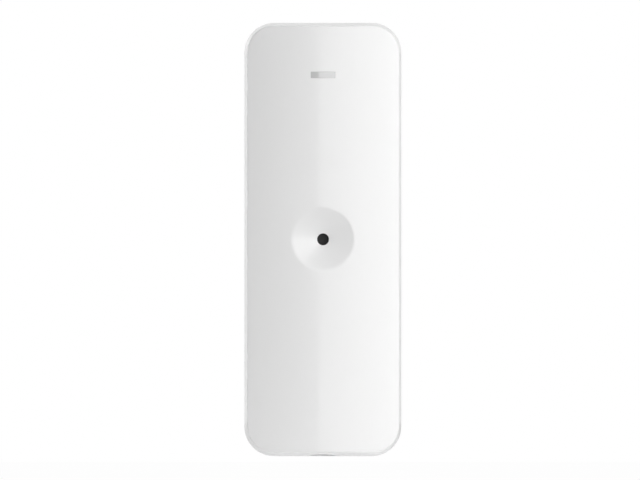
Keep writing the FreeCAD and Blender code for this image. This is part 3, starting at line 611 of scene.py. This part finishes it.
def turned(profile: Sequence[tuple[float, float]], foot: Vector, axis: Vector,
           sides: int = 64) -> Piece:
    """A closed round form, extruded ring by ring along an axis.

    Args:
        profile: The radius of each ring and its place along the axis.
        foot: The point of the axis that the places are measured from.
        axis: The direction of the axis.
        sides: How many sides stand for the circle.

    Returns:
        The closed form.
    """
    def ring(radius: float, along: float) -> Place:
        """The formula that puts the selected ring in its place."""
        return lambda point: (Vector((point.x, point.y, 0.0)).normalized() * radius
                              + Vector((0.0, 0.0, along)))

    bpy.ops.mesh.primitive_circle_add(vertices=sides, radius=profile[0][0])
    form = bpy.context.object
    with editing(form):
        bpy.ops.mesh.select_mode(type="EDGE")
        select_all()
        shape(form, ring(*profile[0]))
        for radius, along in profile[1:]:
            extrude_to(form, ring(radius, along))
        close_up()
    form.location = foot
    form.rotation_euler = UP.rotation_difference(axis).to_euler()
    settle(form)
    return form


def close_up() -> None:
    """Fill the open ends of the form in edit mode and turn its faces outwards."""
    select_all()
    bpy.ops.mesh.fill_holes(sides=0)
    face_outwards()


def face_outwards() -> None:
    """Turn all faces of the form in edit mode outwards."""
    select_all()
    bpy.ops.mesh.normals_make_consistent(inside=False)


def curve(start: Vector | float, corner: Vector | float, end: Vector | float,
          share: float) -> Vector | float:
    """A point of the soft curve that rounds a corner between two ends.

    Args:
        start: Where the curve starts.
        corner: The corner that it rounds.
        end: Where it ends.
        share: How far along it the point is, from nothing to one.

    Returns:
        The point.
    """
    return start * (1 - share) ** 2 + corner * (2 * share * (1 - share)) + end * share ** 2


BROKEN_EDGES = {
    "rear_cover": 0.1, "mic_mesh": 0.0, "mic_boot": 0.15, "microphone": 0.2, "circuit_board": 0.0,
    "board_screws": 0.12, "battery_cradle": 0.0, "battery_contact_positive": 0.04,
    "battery_contact_negative": 0.04, "tamper_switch_body": 0.15, "enrol_button_body": 0.12,
    "enrol_button_key": 0.2, "power_switch_body": 0.1, "power_switch_slider": 0.12,
    "sensitivity_switch_body": 0.1, "sensitivity_slider_1": 0.08, "sensitivity_slider_2": 0.08,
    "radio_shield": 0.25, "antenna": 0.04, "storage_capacitor": 0.25, "processor": 0.06,
    "amplifier": 0.06, "status_led": 0.08, "crystal": 0.12, "chip_components": 0.05,
}


class Dresser:
    """Gives every piece its body, its slot, its finish and its smooth shading."""

    smooth_angle = math.radians(32)
    flat_angle = math.radians(0.5)
    sharp_angle = math.radians(40)
    broken_steps = 2

    def __init__(self, frame: dict) -> None:
        """Build the finishes and read which node has which.
        """
        self.nodes = frame["nodes"]
        self.materials = {finish.slot: finish.build() for finish in FINISHES}
        self.slots = {row["node"]: Slot(row["material_slot"]) for row in frame["record"]["subparts"]}

    def paint(self, piece: Piece, slot: Slot) -> None:
        """Give a piece one finish all over."""
        piece.data.materials.clear()
        piece.data.materials.append(self.materials[slot])

    def dress(self, piece: Piece, name: str, node: str) -> None:
        """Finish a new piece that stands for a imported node.

        Args:
            piece: The modelled piece.
            name: Its name.
            node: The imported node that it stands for.
        """
        piece.name = name
        piece.data.name = name
        settle(piece)
        bpy.ops.object.shade_smooth_by_angle(angle=self.smooth_angle)
        self.paint(piece, self.slots[node])
        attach(piece, self.nodes[node]["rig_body"])
        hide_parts(node)
        LOG.info("%s stands for %s with %d faces", name, node, len(piece.data.polygons))

    def copy_of(self, node: str) -> Piece:
        """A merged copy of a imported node's mesh.

        Args:
            node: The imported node.

        Returns:
            The copy, not yet dressed.
        """
        only(self.nodes[node])
        bpy.ops.object.duplicate()
        copy = bpy.context.object
        copy.parent = None
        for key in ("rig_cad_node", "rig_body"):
            del copy[key]
        bpy.ops.mesh.customdata_custom_splitnormals_clear()
        with editing(copy):
            select_all()
            bpy.ops.mesh.remove_doubles(threshold=MERGE_DISTANCE)
        return copy

    def refine(self, node: str, edge_round: float) -> None:
        """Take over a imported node's own shape, merged, smooth and with its sharp edges broken.

        Args:
            node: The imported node.
            edge_round: The width of the broken edges, or nothing to leave them sharp.
        """
        piece = self.copy_of(node)
        if edge_round > 0:
            with editing(piece):
                select_all()
                bpy.ops.mesh.dissolve_limited(angle_limit=self.flat_angle)
            modify(piece, "BEVEL", width=edge_round, segments=self.broken_steps,
                   limit_method="ANGLE", angle_limit=self.sharp_angle)
        self.dress(piece, node + "_refined", node)
        if edge_round > 0:
            modify(piece, "WEIGHTED_NORMAL", keep_sharp=True)


@dataclass
class FrontCover:
    """The crowned front shell with its dished microphone port."""

    corner_radius: float = 8.0 * MM
    crown_rise: float = 1.2 * MM
    taper_depth: float = 3.5 * MM
    taper: float = math.tan(math.radians(11.0))
    edge_reach: float = 0.3 * MM
    edge_rounds: int = 4
    shoulder_reach: float = 0.25 * MM
    lip_reach: float = 0.12 * MM
    port_radius: float = 1.59 * MM
    dish_radius: float = 8.2 * MM
    dish_depth: float = 1.1 * MM
    rim_reach: float = 0.6 * MM
    dish_rings: tuple[float, ...] = (1.66, 2.0, 2.8, 3.7, 4.6, 5.5, 6.3, 6.9, 7.3, 7.5, 7.6, 7.7, 7.8,
                                     7.9, 8.0, 8.1, 8.2, 8.3, 8.4, 8.5, 8.6, 8.7, 8.8, 8.95, 9.2, 9.7)
    face_support: float = 2.2 * MM
    face_rings: tuple[float, ...] = (1.2 * MM, 0.5 * MM, 0.15 * MM)
    edge_shares: tuple[float, ...] = (0.0, 0.2, 0.4, 0.6, 0.8, 1.0)
    taper_rings: tuple[float, ...] = (20.8 * MM, 19.5 * MM)
    shoulder_shares: tuple[float, ...] = (0.0, 0.25, 0.5, 0.75, 1.0)
    side_rings: tuple[float, ...] = (17.5 * MM, 9.0 * MM, 5.6 * MM)
    fan_cuts: int = 26
    corner_steps: int = 24
    side_steps: int = 100
    end_steps: int = 26
    skin: float = 1.02 * MM
    core_inset: float = 0.5 * MM
    core_back: float = 7.5 * MM
    window_width: float = 6.60 * MM
    window_height: float = 1.71 * MM
    window_z: float = 43.98 * MM
    window_corner: float = 0.12 * MM
    window_reach: float = 4 * MM
    pocket_radius: float = 3.88 * MM
    pocket_depth: float = 17.1 * MM
    pocket_top: float = -55.5 * MM
    pocket_sides: int = 96
    half_width: float = field(init=False)
    half_height: float = field(init=False)
    case_depth: float = field(init=False)
    split_depth: float = field(init=False)
    shoulder_depth: float = field(init=False)
    crown_radius: float = field(init=False)

    def __post_init__(self) -> None:
        """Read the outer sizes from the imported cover."""
        low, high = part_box("front_cover")
        self.half_width = high.x
        self.half_height = high.z
        self.case_depth = -low.y
        self.split_depth = -high.y
        self.shoulder_depth = self.case_depth - self.crown_rise - self.taper_depth
        self.crown_radius = (self.half_width ** 2 + self.crown_rise ** 2) / (2 * self.crown_rise)

    def crown_depth(self, x: float) -> float:
        """The depth of the crowned face at a place across."""
        return self.case_depth - self.crown_radius + math.sqrt(self.crown_radius ** 2 - x ** 2)

    def face_depth(self, x: float, z: float) -> float:
        """The depth of the face, with its dish and the dish's soft rim.

        Args:
            x: The place across.
            z: The height.

        Returns:
            The depth.
        """
        radius = math.hypot(x, z)
        inner = self.dish_radius - self.rim_reach
        outer = self.dish_radius + self.rim_reach
        if radius >= outer:
            return self.crown_depth(x)
        floor = self.case_depth - self.dish_depth
        side = x / radius
        rim_depth = self.crown_depth(side * self.dish_radius)
        slope = (rim_depth - floor) / (self.dish_radius - self.port_radius)
        if radius <= inner:
            return floor + slope * (radius - self.port_radius)
        share = (radius - inner) / (outer - inner)
        start = floor + slope * (inner - self.port_radius)
        return curve(start, rim_depth, self.crown_depth(side * outer), share)

    def inset_at(self, depth: float) -> float:
        """How far the sides have come in at a depth, above the shoulder."""
        return max(0.0, depth - self.shoulder_depth) * self.taper

    def on_outline(self, point: Vector, inset: float, depth: float) -> Vector:
        """The nearest point of the case's outline, brought in by an inset.

        Args:
            point: Any point near the edge of the case.
            inset: How far inside the outline the new point lies.
            depth: Its depth.

        Returns:
            The new point.
        """
        core_x = self.half_width - self.corner_radius
        core_z = self.half_height - self.corner_radius
        near = Vector((max(-core_x, min(core_x, point.x)), 0.0, max(-core_z, min(core_z, point.z))))
        away = Vector((point.x - near.x, 0.0, point.z - near.z)).normalized()
        found = near + away * (self.corner_radius - inset)
        return Vector((found.x, -depth, found.z))

    def on_face(self, point: Vector, inset: float) -> Vector:
        """The point of the plain crowned face that lies at an inset from the outline."""
        found = self.on_outline(point, inset, 0.0)
        found.y = -self.crown_depth(found.x)
        return found

    def edge_depth(self, point: Vector) -> float:
        """The depth at which the taper meets the crowned face beside a point."""
        depth = self.case_depth
        for _ in range(self.edge_rounds):
            depth = self.crown_depth(self.on_outline(point, self.inset_at(depth), 0.0).x)
        return depth

    def around_edge(self, share: float, within: float = 0.0) -> Place:
        """A step of the soft edge between the face and the taper.

        Args:
            share: How far round the edge the step is, from nothing on the face to one on the taper.
            within: How far inside the surface the step lies.

        Returns:
            The formula that places a vertex.
        """
        def place(point: Vector) -> Vector:
            """Place one vertex on the edge's curve."""
            depth = self.edge_depth(point)
            inset = self.inset_at(depth)
            corner = self.on_outline(point, inset, depth)
            low = depth - self.edge_reach
            found = curve(self.on_face(point, inset + self.edge_reach), corner,
                          self.on_outline(point, self.inset_at(low), low), share)
            if within:
                found = self.on_outline(found, inset + within, -found.y - within)
            return found
        return place

    def on_side(self, depth: float, within: float = 0.0) -> Place:
        """A ring on the side of the case at one depth.

        Args:
            depth: The depth.
            within: How far inside the surface the ring lies.

        Returns:
            The formula that places a vertex.
        """
        return lambda point: self.on_outline(point, self.inset_at(depth) + within, depth)

    def near_edge(self, reach: float) -> Place:
        """A ring on the face that runs a fixed distance inside its edge."""
        return lambda point: self.on_face(
            point, self.inset_at(self.edge_depth(point)) + self.edge_reach + reach)

    def shoulder(self, share: float) -> Place:
        """A step of the soft shoulder between the taper and the straight side."""
        sides = [self.on_side(self.shoulder_depth + step * self.shoulder_reach)
                 for step in (1, 0, -1)]
        return lambda point: curve(*(side(point) for side in sides), share)

    def outline(self) -> Piece:
        """The closed loop that the face is drawn out to.

        Returns:
            A mesh of edges, with as many vertices as a dish ring.
        """
        bpy.ops.mesh.primitive_plane_add(size=2.0, rotation=(math.pi / 2, 0.0, 0.0))
        loop = bpy.context.object
        loop.scale = (self.half_width, self.half_height, 1.0)
        settle(loop)
        with editing(loop):
            bpy.ops.mesh.select_mode(type="VERT")
            select_all()
            bpy.ops.mesh.bevel(offset=self.corner_radius, offset_type="OFFSET", affect="VERTICES",
                               segments=self.corner_steps)
            select_all()
            bpy.ops.mesh.delete(type="ONLY_FACE")
            for half, steps in ((self.half_height, self.side_steps),
                                (self.half_width, self.end_steps)):
                pick(loop, Part.EDGE, lambda edge, half=half: edge.calc_length() > 0.5 * half)
                bpy.ops.mesh.subdivide(number_cuts=steps - 1)
            select_all()
            shape(loop, self.near_edge(self.face_support))
        return loop

    def face(self, sunk: float) -> Piece:
        """The face from the port out to near its edge, as an open sheet.

        Args:
            sunk: How far behind the true face it lies.

        Returns:
            The sheet.
        """
        outer = self.outline()
        around = len(outer.data.vertices)
        bpy.ops.mesh.primitive_circle_add(vertices=around, radius=self.port_radius,
                                          rotation=(math.pi / 2, 0.0, 0.0))
        sheet = bpy.context.object
        settle(sheet)
        with editing(sheet):
            bpy.ops.mesh.select_mode(type="EDGE")
            select_all()
            radius = self.port_radius
            for ring in self.dish_rings:
                grow = ring * MM / radius
                radius = ring * MM
                extrude_to(sheet, lambda point, grow=grow: point * grow)
        only(sheet, outer)
        bpy.ops.object.join()
        with editing(sheet):
            pick(sheet, Part.EDGE, lambda edge: len(edge.link_faces) < 2
                 and span_from_axis(edge) > 0.99 * radius)
            bpy.ops.mesh.bridge_edge_loops(number_cuts=self.fan_cuts)
            select_all()
            shape(sheet, lambda point: Vector((point.x, sunk - self.face_depth(point.x, point.z),
                                               point.z)))
        return sheet

    def pick_rim(self, sheet: Piece, outer: bool = True) -> None:
        """Select the open rims of a sheet that lie outside the port, or else those at the port."""
        pick(sheet, Part.EDGE, lambda edge: is_open(edge)
             and (span_from_axis(edge) > 2 * self.port_radius) == outer)

    def skin_shell(self) -> Piece:
        """The outer skin as a thin closed shell, with its port open.

        Returns:
            The shell.
        """
        shell = self.face(0.0)
        lining = self.face(self.skin)
        split, lip = self.split_depth, self.lip_reach
        rings = [self.near_edge(reach) for reach in self.face_rings]
        rings += [self.around_edge(share) for share in self.edge_shares]
        rings += [self.on_side(depth) for depth in self.taper_rings]
        rings += [self.shoulder(share) for share in self.shoulder_shares]
        rings += [self.on_side(depth) for depth in (*self.side_rings, split + lip)]
        rings += [self.on_side(split, lip), self.on_side(split, self.skin),
                  self.on_side(self.shoulder_depth, self.skin), self.around_edge(1.0, self.skin)]
        with editing(shell):
            self.pick_rim(shell)
            for ring in rings:
                extrude_to(shell, ring)
        only(shell, lining)
        bpy.ops.object.join()
        with editing(shell):
            for outer in (True, False):
                self.pick_rim(shell, outer)
                bpy.ops.mesh.bridge_edge_loops()
            face_outwards()
        return shell

    def core(self) -> Piece:
        """A solid form of the case, a little inside its surface.

        Returns:
            The closed form.
        """
        form = self.face(self.core_inset)
        with editing(form):
            self.pick_rim(form)
            extrude_to(form, self.around_edge(1.0, self.core_inset))
            extrude_to(form, self.on_side(self.shoulder_depth, self.core_inset))
            extrude_to(form, self.on_side(self.core_back, self.core_inset))
            bpy.ops.mesh.edge_face_add()
            pick(form, Part.EDGE, is_open)
            bpy.ops.mesh.edge_face_add()
            face_outwards()
        return form

    def window_cutter(self) -> Piece:
        """The bar that cuts the indicator window."""
        half = Vector((self.window_width / 2, self.case_depth / 2, self.window_height / 2))
        middle = Vector((0.0, -self.case_depth - half.y + self.window_reach, self.window_z))
        return block(middle - half, middle + half, self.window_corner)

    def pocket_cutter(self) -> Piece:
        """The upright bar that cuts the pocket of the cover screw.

        Returns:
            The bar.
        """
        foot = -self.half_height - MM
        bpy.ops.mesh.primitive_cylinder_add(
            vertices=self.pocket_sides, radius=self.pocket_radius, depth=self.pocket_top - foot,
            location=(0.0, -self.pocket_depth, (foot + self.pocket_top) / 2))
        bar = bpy.context.object
        settle(bar)
        return bar

    def build(self, dresser: Dresser) -> None:
        """Model the cover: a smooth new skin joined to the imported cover's own inside."""
        inside = dresser.copy_of("front_cover")
        combine(inside, self.core(), "INTERSECT")
        cover = self.skin_shell()
        combine(cover, inside, "UNION")
        combine(cover, self.window_cutter(), "DIFFERENCE")
        combine(cover, self.pocket_cutter(), "DIFFERENCE")
        dresser.dress(cover, "moulded_front", "front_cover")


@dataclass
class LightPipe:
    """The lens of the indicator: a bar whose end lies flush in the crowned face."""

    cover: FrontCover
    width: float = 6.52 * MM
    height: float = 1.63 * MM
    joint_depth: float = 21.0 * MM
    edge_round: float = 0.08 * MM
    overlap: float = 0.2 * MM
    cuts: int = 24

    def front_bar(self) -> Piece:
        """The front end of the bar, whose end face follows the crown.

        Returns:
            The closed bar.
        """
        low = Vector((-self.width / 2, -self.cover.case_depth, self.cover.window_z - self.height / 2))
        high = Vector((self.width / 2, -self.joint_depth, self.cover.window_z + self.height / 2))
        bar = block(low, high, self.edge_round)
        with editing(bar):
            for cut in range(1, self.cuts):
                select_all()
                bpy.ops.mesh.bisect(plane_co=(low.x + self.width * cut / self.cuts, 0.0, 0.0),
                                    plane_no=(1.0, 0.0, 0.0))
            pick(bar, Part.VERT, lambda vertex: vertex.co.y < low.y + self.overlap)
            shape(bar, lambda point: Vector((point.x, -self.cover.crown_depth(point.x), point.z)))
        return bar

    def build(self, dresser: Dresser) -> None:
        """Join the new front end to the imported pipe's own foot and flange."""
        foot = dresser.copy_of("light_pipe")
        reach = 20 * MM
        keep = block(Vector((-reach, -self.joint_depth - self.overlap, 0.0)),
                     Vector((reach, 0.0, 3 * reach)))
        combine(foot, keep, "INTERSECT")
        combine(foot, self.front_bar(), "UNION")
        dresser.dress(foot, "indicator_lens", "light_pipe")


@dataclass
class CoverScrew:
    """The pan head screw that goes in from below and holds the front cover."""

    head_radius: float = 2.8 * MM
    head_round: float = 0.8 * MM
    head_height: float = 2.2 * MM
    seat_round: float = 0.1 * MM
    shank_radius: float = 1.5 * MM
    tip_radius: float = 0.8 * MM
    tip_taper: float = 1.2 * MM
    arm: float = 1.6 * MM
    arm_width: float = 0.7 * MM
    arm_end_width: float = 0.35 * MM
    drive_depth: float = 1.2 * MM

    def drive_bar(self, foot: Vector, turn: float) -> Piece:
        """One tapered bar of the cross recess.

        Args:
            foot: The middle of the head's face.
            turn: How far the bar is turned about the screw's axis.

        Returns:
            The closed bar.
        """
        half = Vector((self.arm, self.arm_width / 2, self.drive_depth))
        bar = block(-half, half)
        narrow = self.arm_end_width / self.arm_width
        with editing(bar):
            pick(bar, Part.VERT, lambda vertex: vertex.co.z > 0)
            shape(bar, lambda point: Vector((point.x * narrow, point.y * narrow, point.z)))
        bar.location = foot
        bar.rotation_euler = (0.0, 0.0, turn)
        settle(bar)
        return bar

    def build(self, dresser: Dresser) -> None:
        """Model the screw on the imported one's axis, with its head down."""
        low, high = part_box("cover_screw")
        foot = Vector(((low.x + high.x) / 2, (low.y + high.y) / 2, low.z))
        tip = high.z - low.z
        profile = soft_rim(self.head_radius, 0.0, self.head_round)
        profile += soft_rim(self.head_radius, self.head_height, self.seat_round, closing=True)
        profile += [(self.shank_radius, self.head_height), (self.shank_radius, tip - self.tip_taper),
                    (self.tip_radius, tip)]
        screw = turned(profile, foot, UP)
        for turn in (math.radians(20), math.radians(110)):
            combine(screw, self.drive_bar(foot, turn), "DIFFERENCE")
        dresser.dress(screw, "pan_head_screw", "cover_screw")


@dataclass
class TamperSwitch:
    """The plunger that the wall pushes in, and the spring that pushes it out."""

    shaft_radius: float = 1.5 * MM
    tip_round: float = 0.9 * MM
    end_round: float = 0.2 * MM
    collar_radius: float = 2.5 * MM
    collar_rear: float = 2.05 * MM
    collar_thickness: float = 0.8 * MM
    collar_round: float = 0.2 * MM
    wire_radius: float = 0.2 * MM
    turns: int = 5
    steps_per_turn: int = 48
    wire_sides: int = 12
    pressed_share: float = 0.703

    def axis_foot(self, node: str) -> Vector:
        """The rear end of a round node's axis, which runs forward."""
        low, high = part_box(node)
        return Vector(((low.x + high.x) / 2, high.y, (low.z + high.z) / 2))

    def build_plunger(self, dresser: Dresser) -> None:
        """Model the plunger with its domed tip and its collar."""
        low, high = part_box("tamper_plunger")
        collar = self.collar_rear + high.y
        collar_end = collar + self.collar_thickness
        profile = soft_rim(self.shaft_radius, 0.0, self.tip_round)
        profile += [(self.shaft_radius, collar)]
        profile += soft_rim(self.collar_radius, collar, self.collar_round)
        profile += soft_rim(self.collar_radius, collar_end, self.collar_round, closing=True)
        profile += [(self.shaft_radius, collar_end)]
        profile += soft_rim(self.shaft_radius, high.y - low.y, self.end_round, closing=True)
        plunger = turned(profile, self.axis_foot("tamper_plunger"), Vector((0.0, -1.0, 0.0)))
        dresser.dress(plunger, "domed_plunger", "tamper_plunger")

    def build_spring(self, dresser: Dresser) -> None:
        """Wind the spring from round wire."""
        low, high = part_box("tamper_spring")
        radius = (high.x - low.x) / 2 - self.wire_radius
        length = high.y - low.y - 2 * self.wire_radius
        bpy.ops.mesh.primitive_circle_add(vertices=self.wire_sides, radius=self.wire_radius,
                                          location=(radius, 0.0, 0.0), rotation=(math.pi / 2, 0.0, 0.0))
        spring = bpy.context.object
        settle(spring)
        modify(spring, "SCREW", steps=self.steps_per_turn, render_steps=self.steps_per_turn,
               screw_offset=length / self.turns, iterations=self.turns)
        with editing(spring):
            select_all()
            bpy.ops.mesh.remove_doubles(threshold=MERGE_DISTANCE)
            close_up()
        spring.location = self.axis_foot("tamper_spring") + Vector((0.0, -self.wire_radius, 0.0))
        spring.rotation_euler = (math.pi / 2, 0.0, 0.0)
        dresser.dress(spring, "round_wire_spring", "tamper_spring")
        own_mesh(spring)

    def build(self, dresser: Dresser) -> None:
        """Model the plunger and its spring."""
        self.build_plunger(dresser)
        self.build_spring(dresser)


@dataclass
class Cell:
    """The sealed lithium cell, upright in its cradle with the plus end up."""

    foot_round: float = 0.7 * MM
    shoulder_round: float = 0.9 * MM
    nub_round: float = 0.4 * MM
    nub_radius: float = 3.2 * MM
    nub_height: float = 0.9 * MM

    def build(self, dresser: Dresser) -> None:
        """Model the can with its rounded shoulders and its nub."""
        low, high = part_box("battery")
        radius = (high.x - low.x) / 2
        shoulder = high.z - low.z - self.nub_height
        profile = soft_rim(radius, 0.0, self.foot_round)
        profile += soft_rim(radius, shoulder, self.shoulder_round, closing=True)
        profile += [(self.nub_radius, shoulder)]
        profile += soft_rim(self.nub_radius, high.z - low.z, self.nub_round, closing=True)
        foot = Vector(((low.x + high.x) / 2, (low.y + high.y) / 2, low.z))
        cell = turned(profile, foot, UP, sides=96)
        dresser.dress(cell, "wrapped_cell", "battery")


@dataclass(frozen=True)
class Lamp:
    """A soft rectangular lamp: its place, the point it faces, its size and how bright its face is."""

    name: str
    place: Triple
    aim: Triple
    size: tuple[float, float]
    radiance: float

    def build(self) -> None:
        """Add the lamp, unseen by the camera."""
        place = Vector(self.place)
        bpy.ops.object.light_add(type="AREA", location=place)
        lamp = bpy.context.object
        lamp.name = self.name
        lamp.rotation_euler = (Vector(self.aim) - place).to_track_quat("-Z", "Y").to_euler()
        lamp.data.shape = "RECTANGLE"
        lamp.data.size, lamp.data.size_y = self.size
        lamp.data.energy = self.radiance * self.size[0] * self.size[1] * math.pi
        lamp.visible_camera = False


MIDDLE = (0.0, 0.0, 0.0)
LAMPS = (
    Lamp("softbox", (0.361, -2.0, 0.0), (0.361, 0.0, 0.0), (0.748, 1.1), 3.6),
    Lamp("side_box", (1.68, -0.97, 0.0), MIDDLE, (0.8, 1.1), 4.8),
    Lamp("near_strip", (0.09, -0.127, 0.0), (0.0, -0.02, 0.0), (0.06, 1.0), 2.5),
    Lamp("foot_strip", (0.09, -0.127, -0.055), (0.0, -0.02, -0.055), (0.06, 0.05), 1.2),
    Lamp("left_lamp", (-1.6, 0.7, 0.2), MIDDLE, (1.6, 1.6), 3.7),
    Lamp("right_lamp", (1.6, 0.7, 0.2), MIDDLE, (1.6, 1.6), 0.05),
    Lamp("top_lamp", (0.0, 0.5, 1.6), MIDDLE, (1.6, 1.6), 1.4),
    Lamp("fore_lamp", (0.0, -3.6, 4.0), MIDDLE, (3.2, 3.2), 0.3),
    Lamp("low_card", (0.0, -0.05, -0.078), (0.0, -0.05, 0.0), (0.1, 0.16), 0.3),
)


@dataclass
class Studio:
    """The pale floor, the plain soft light and the camera."""

    photo_width: int = 640
    sensor_width: float = 36.0
    camera_distance: float = 6.0
    outline_depth: float = 18.5 * MM
    yaw: float = math.radians(0.40)
    pitch: float = math.radians(0.50)
    shown_right: float = 2.95
    shown_up: float = 0.55
    floor_size: float = 40.0
    floor_gap: float = 25 * MM
    paleness: float = 0.985
    ambient: float = 0.05

    def build_world(self) -> None:
        """A weak even light all round, and white where the camera or a gloss sees it."""
        world = bpy.data.worlds.new("surroundings")
        world.use_nodes = True
        bpy.context.scene.world = world
        graph = Graph(world.node_tree)
        seen = (graph.ray("Is Camera Ray") + graph.ray("Is Glossy Ray")
                + graph.ray("Is Transmission Ray"))
        strength = seen * (1.0 - self.ambient) + self.ambient
        shader = graph.signal("ShaderNodeBackground", {}, {"Color": WHITE, "Strength": strength})
        graph.node("ShaderNodeOutputWorld", {}, {"Surface": shader})

    def build_floor(self) -> None:
        """A plain pale floor under the case, near white to the camera."""
        low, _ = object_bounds()
        bpy.ops.mesh.primitive_plane_add(size=self.floor_size,
                                         location=(0.0, 0.0, low.z - self.floor_gap))
        floor = bpy.context.object
        floor.name = "pale_floor"
        material = bpy.data.materials.new("pale_floor")
        material.use_nodes = True
        graph = Graph(material.node_tree)
        colour = graph.blend(graph.noise(0.3), (0.88, 0.88, 0.88), (0.90, 0.90, 0.90))
        matt = graph.signal("ShaderNodeBsdfDiffuse", {}, {"Color": colour})
        white = graph.signal("ShaderNodeEmission", {}, {"Color": WHITE, "Strength": 1.0})
        mixed = graph.signal("ShaderNodeMixShader", {}, {
            0: graph.ray("Is Camera Ray") * self.paleness, 1: matt, 2: white})
        graph.node("ShaderNodeOutputMaterial", {}, {"Surface": mixed})
        floor.data.materials.append(material)
        floor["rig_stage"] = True

    def build_camera(self) -> None:
        """The camera of the photograph: straight on, far away and a touch low and left."""
        back = Vector((-math.sin(self.yaw), -math.cos(self.yaw), -math.sin(self.pitch))).normalized()
        target = Vector((-self.shown_right * PIXEL, -self.outline_depth, -self.shown_up * PIXEL))
        bpy.ops.object.camera_add(location=target + back * self.camera_distance)
        camera = bpy.context.object
        camera.name = "photo_camera"
        camera.rotation_euler = (-back).to_track_quat("-Z", "Y").to_euler()
        camera.data.sensor_width = self.sensor_width
        camera.data.lens = self.sensor_width * self.camera_distance / (self.photo_width * PIXEL)
        camera.data.clip_start = 0.01
        camera.data.clip_end = 100.0
        bpy.context.scene.camera = camera

    def build(self) -> None:
        """Make the surroundings, the floor, the lamps and the camera."""
        self.build_world()
        self.build_floor()
        for lamp in LAMPS:
            lamp.build()
        self.build_camera()
        bpy.context.scene.view_settings.view_transform = "Standard"


def main() -> None:
    """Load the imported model, dress it and set the scene."""
    logging.basicConfig(level=logging.INFO, format="%(name)s: %(message)s")
    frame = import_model()
    dresser = Dresser(frame)
    for node, slot in dresser.slots.items():
        dresser.paint(dresser.nodes[node], slot)
    cover = FrontCover()
    for assembly in (cover, LightPipe(cover), CoverScrew(), TamperSwitch(), Cell()):
        assembly.build(dresser)
    for node, edge_round in BROKEN_EDGES.items():
        dresser.refine(node, edge_round * MM)
    Studio().build()


if __name__ == "__main__":
    main()
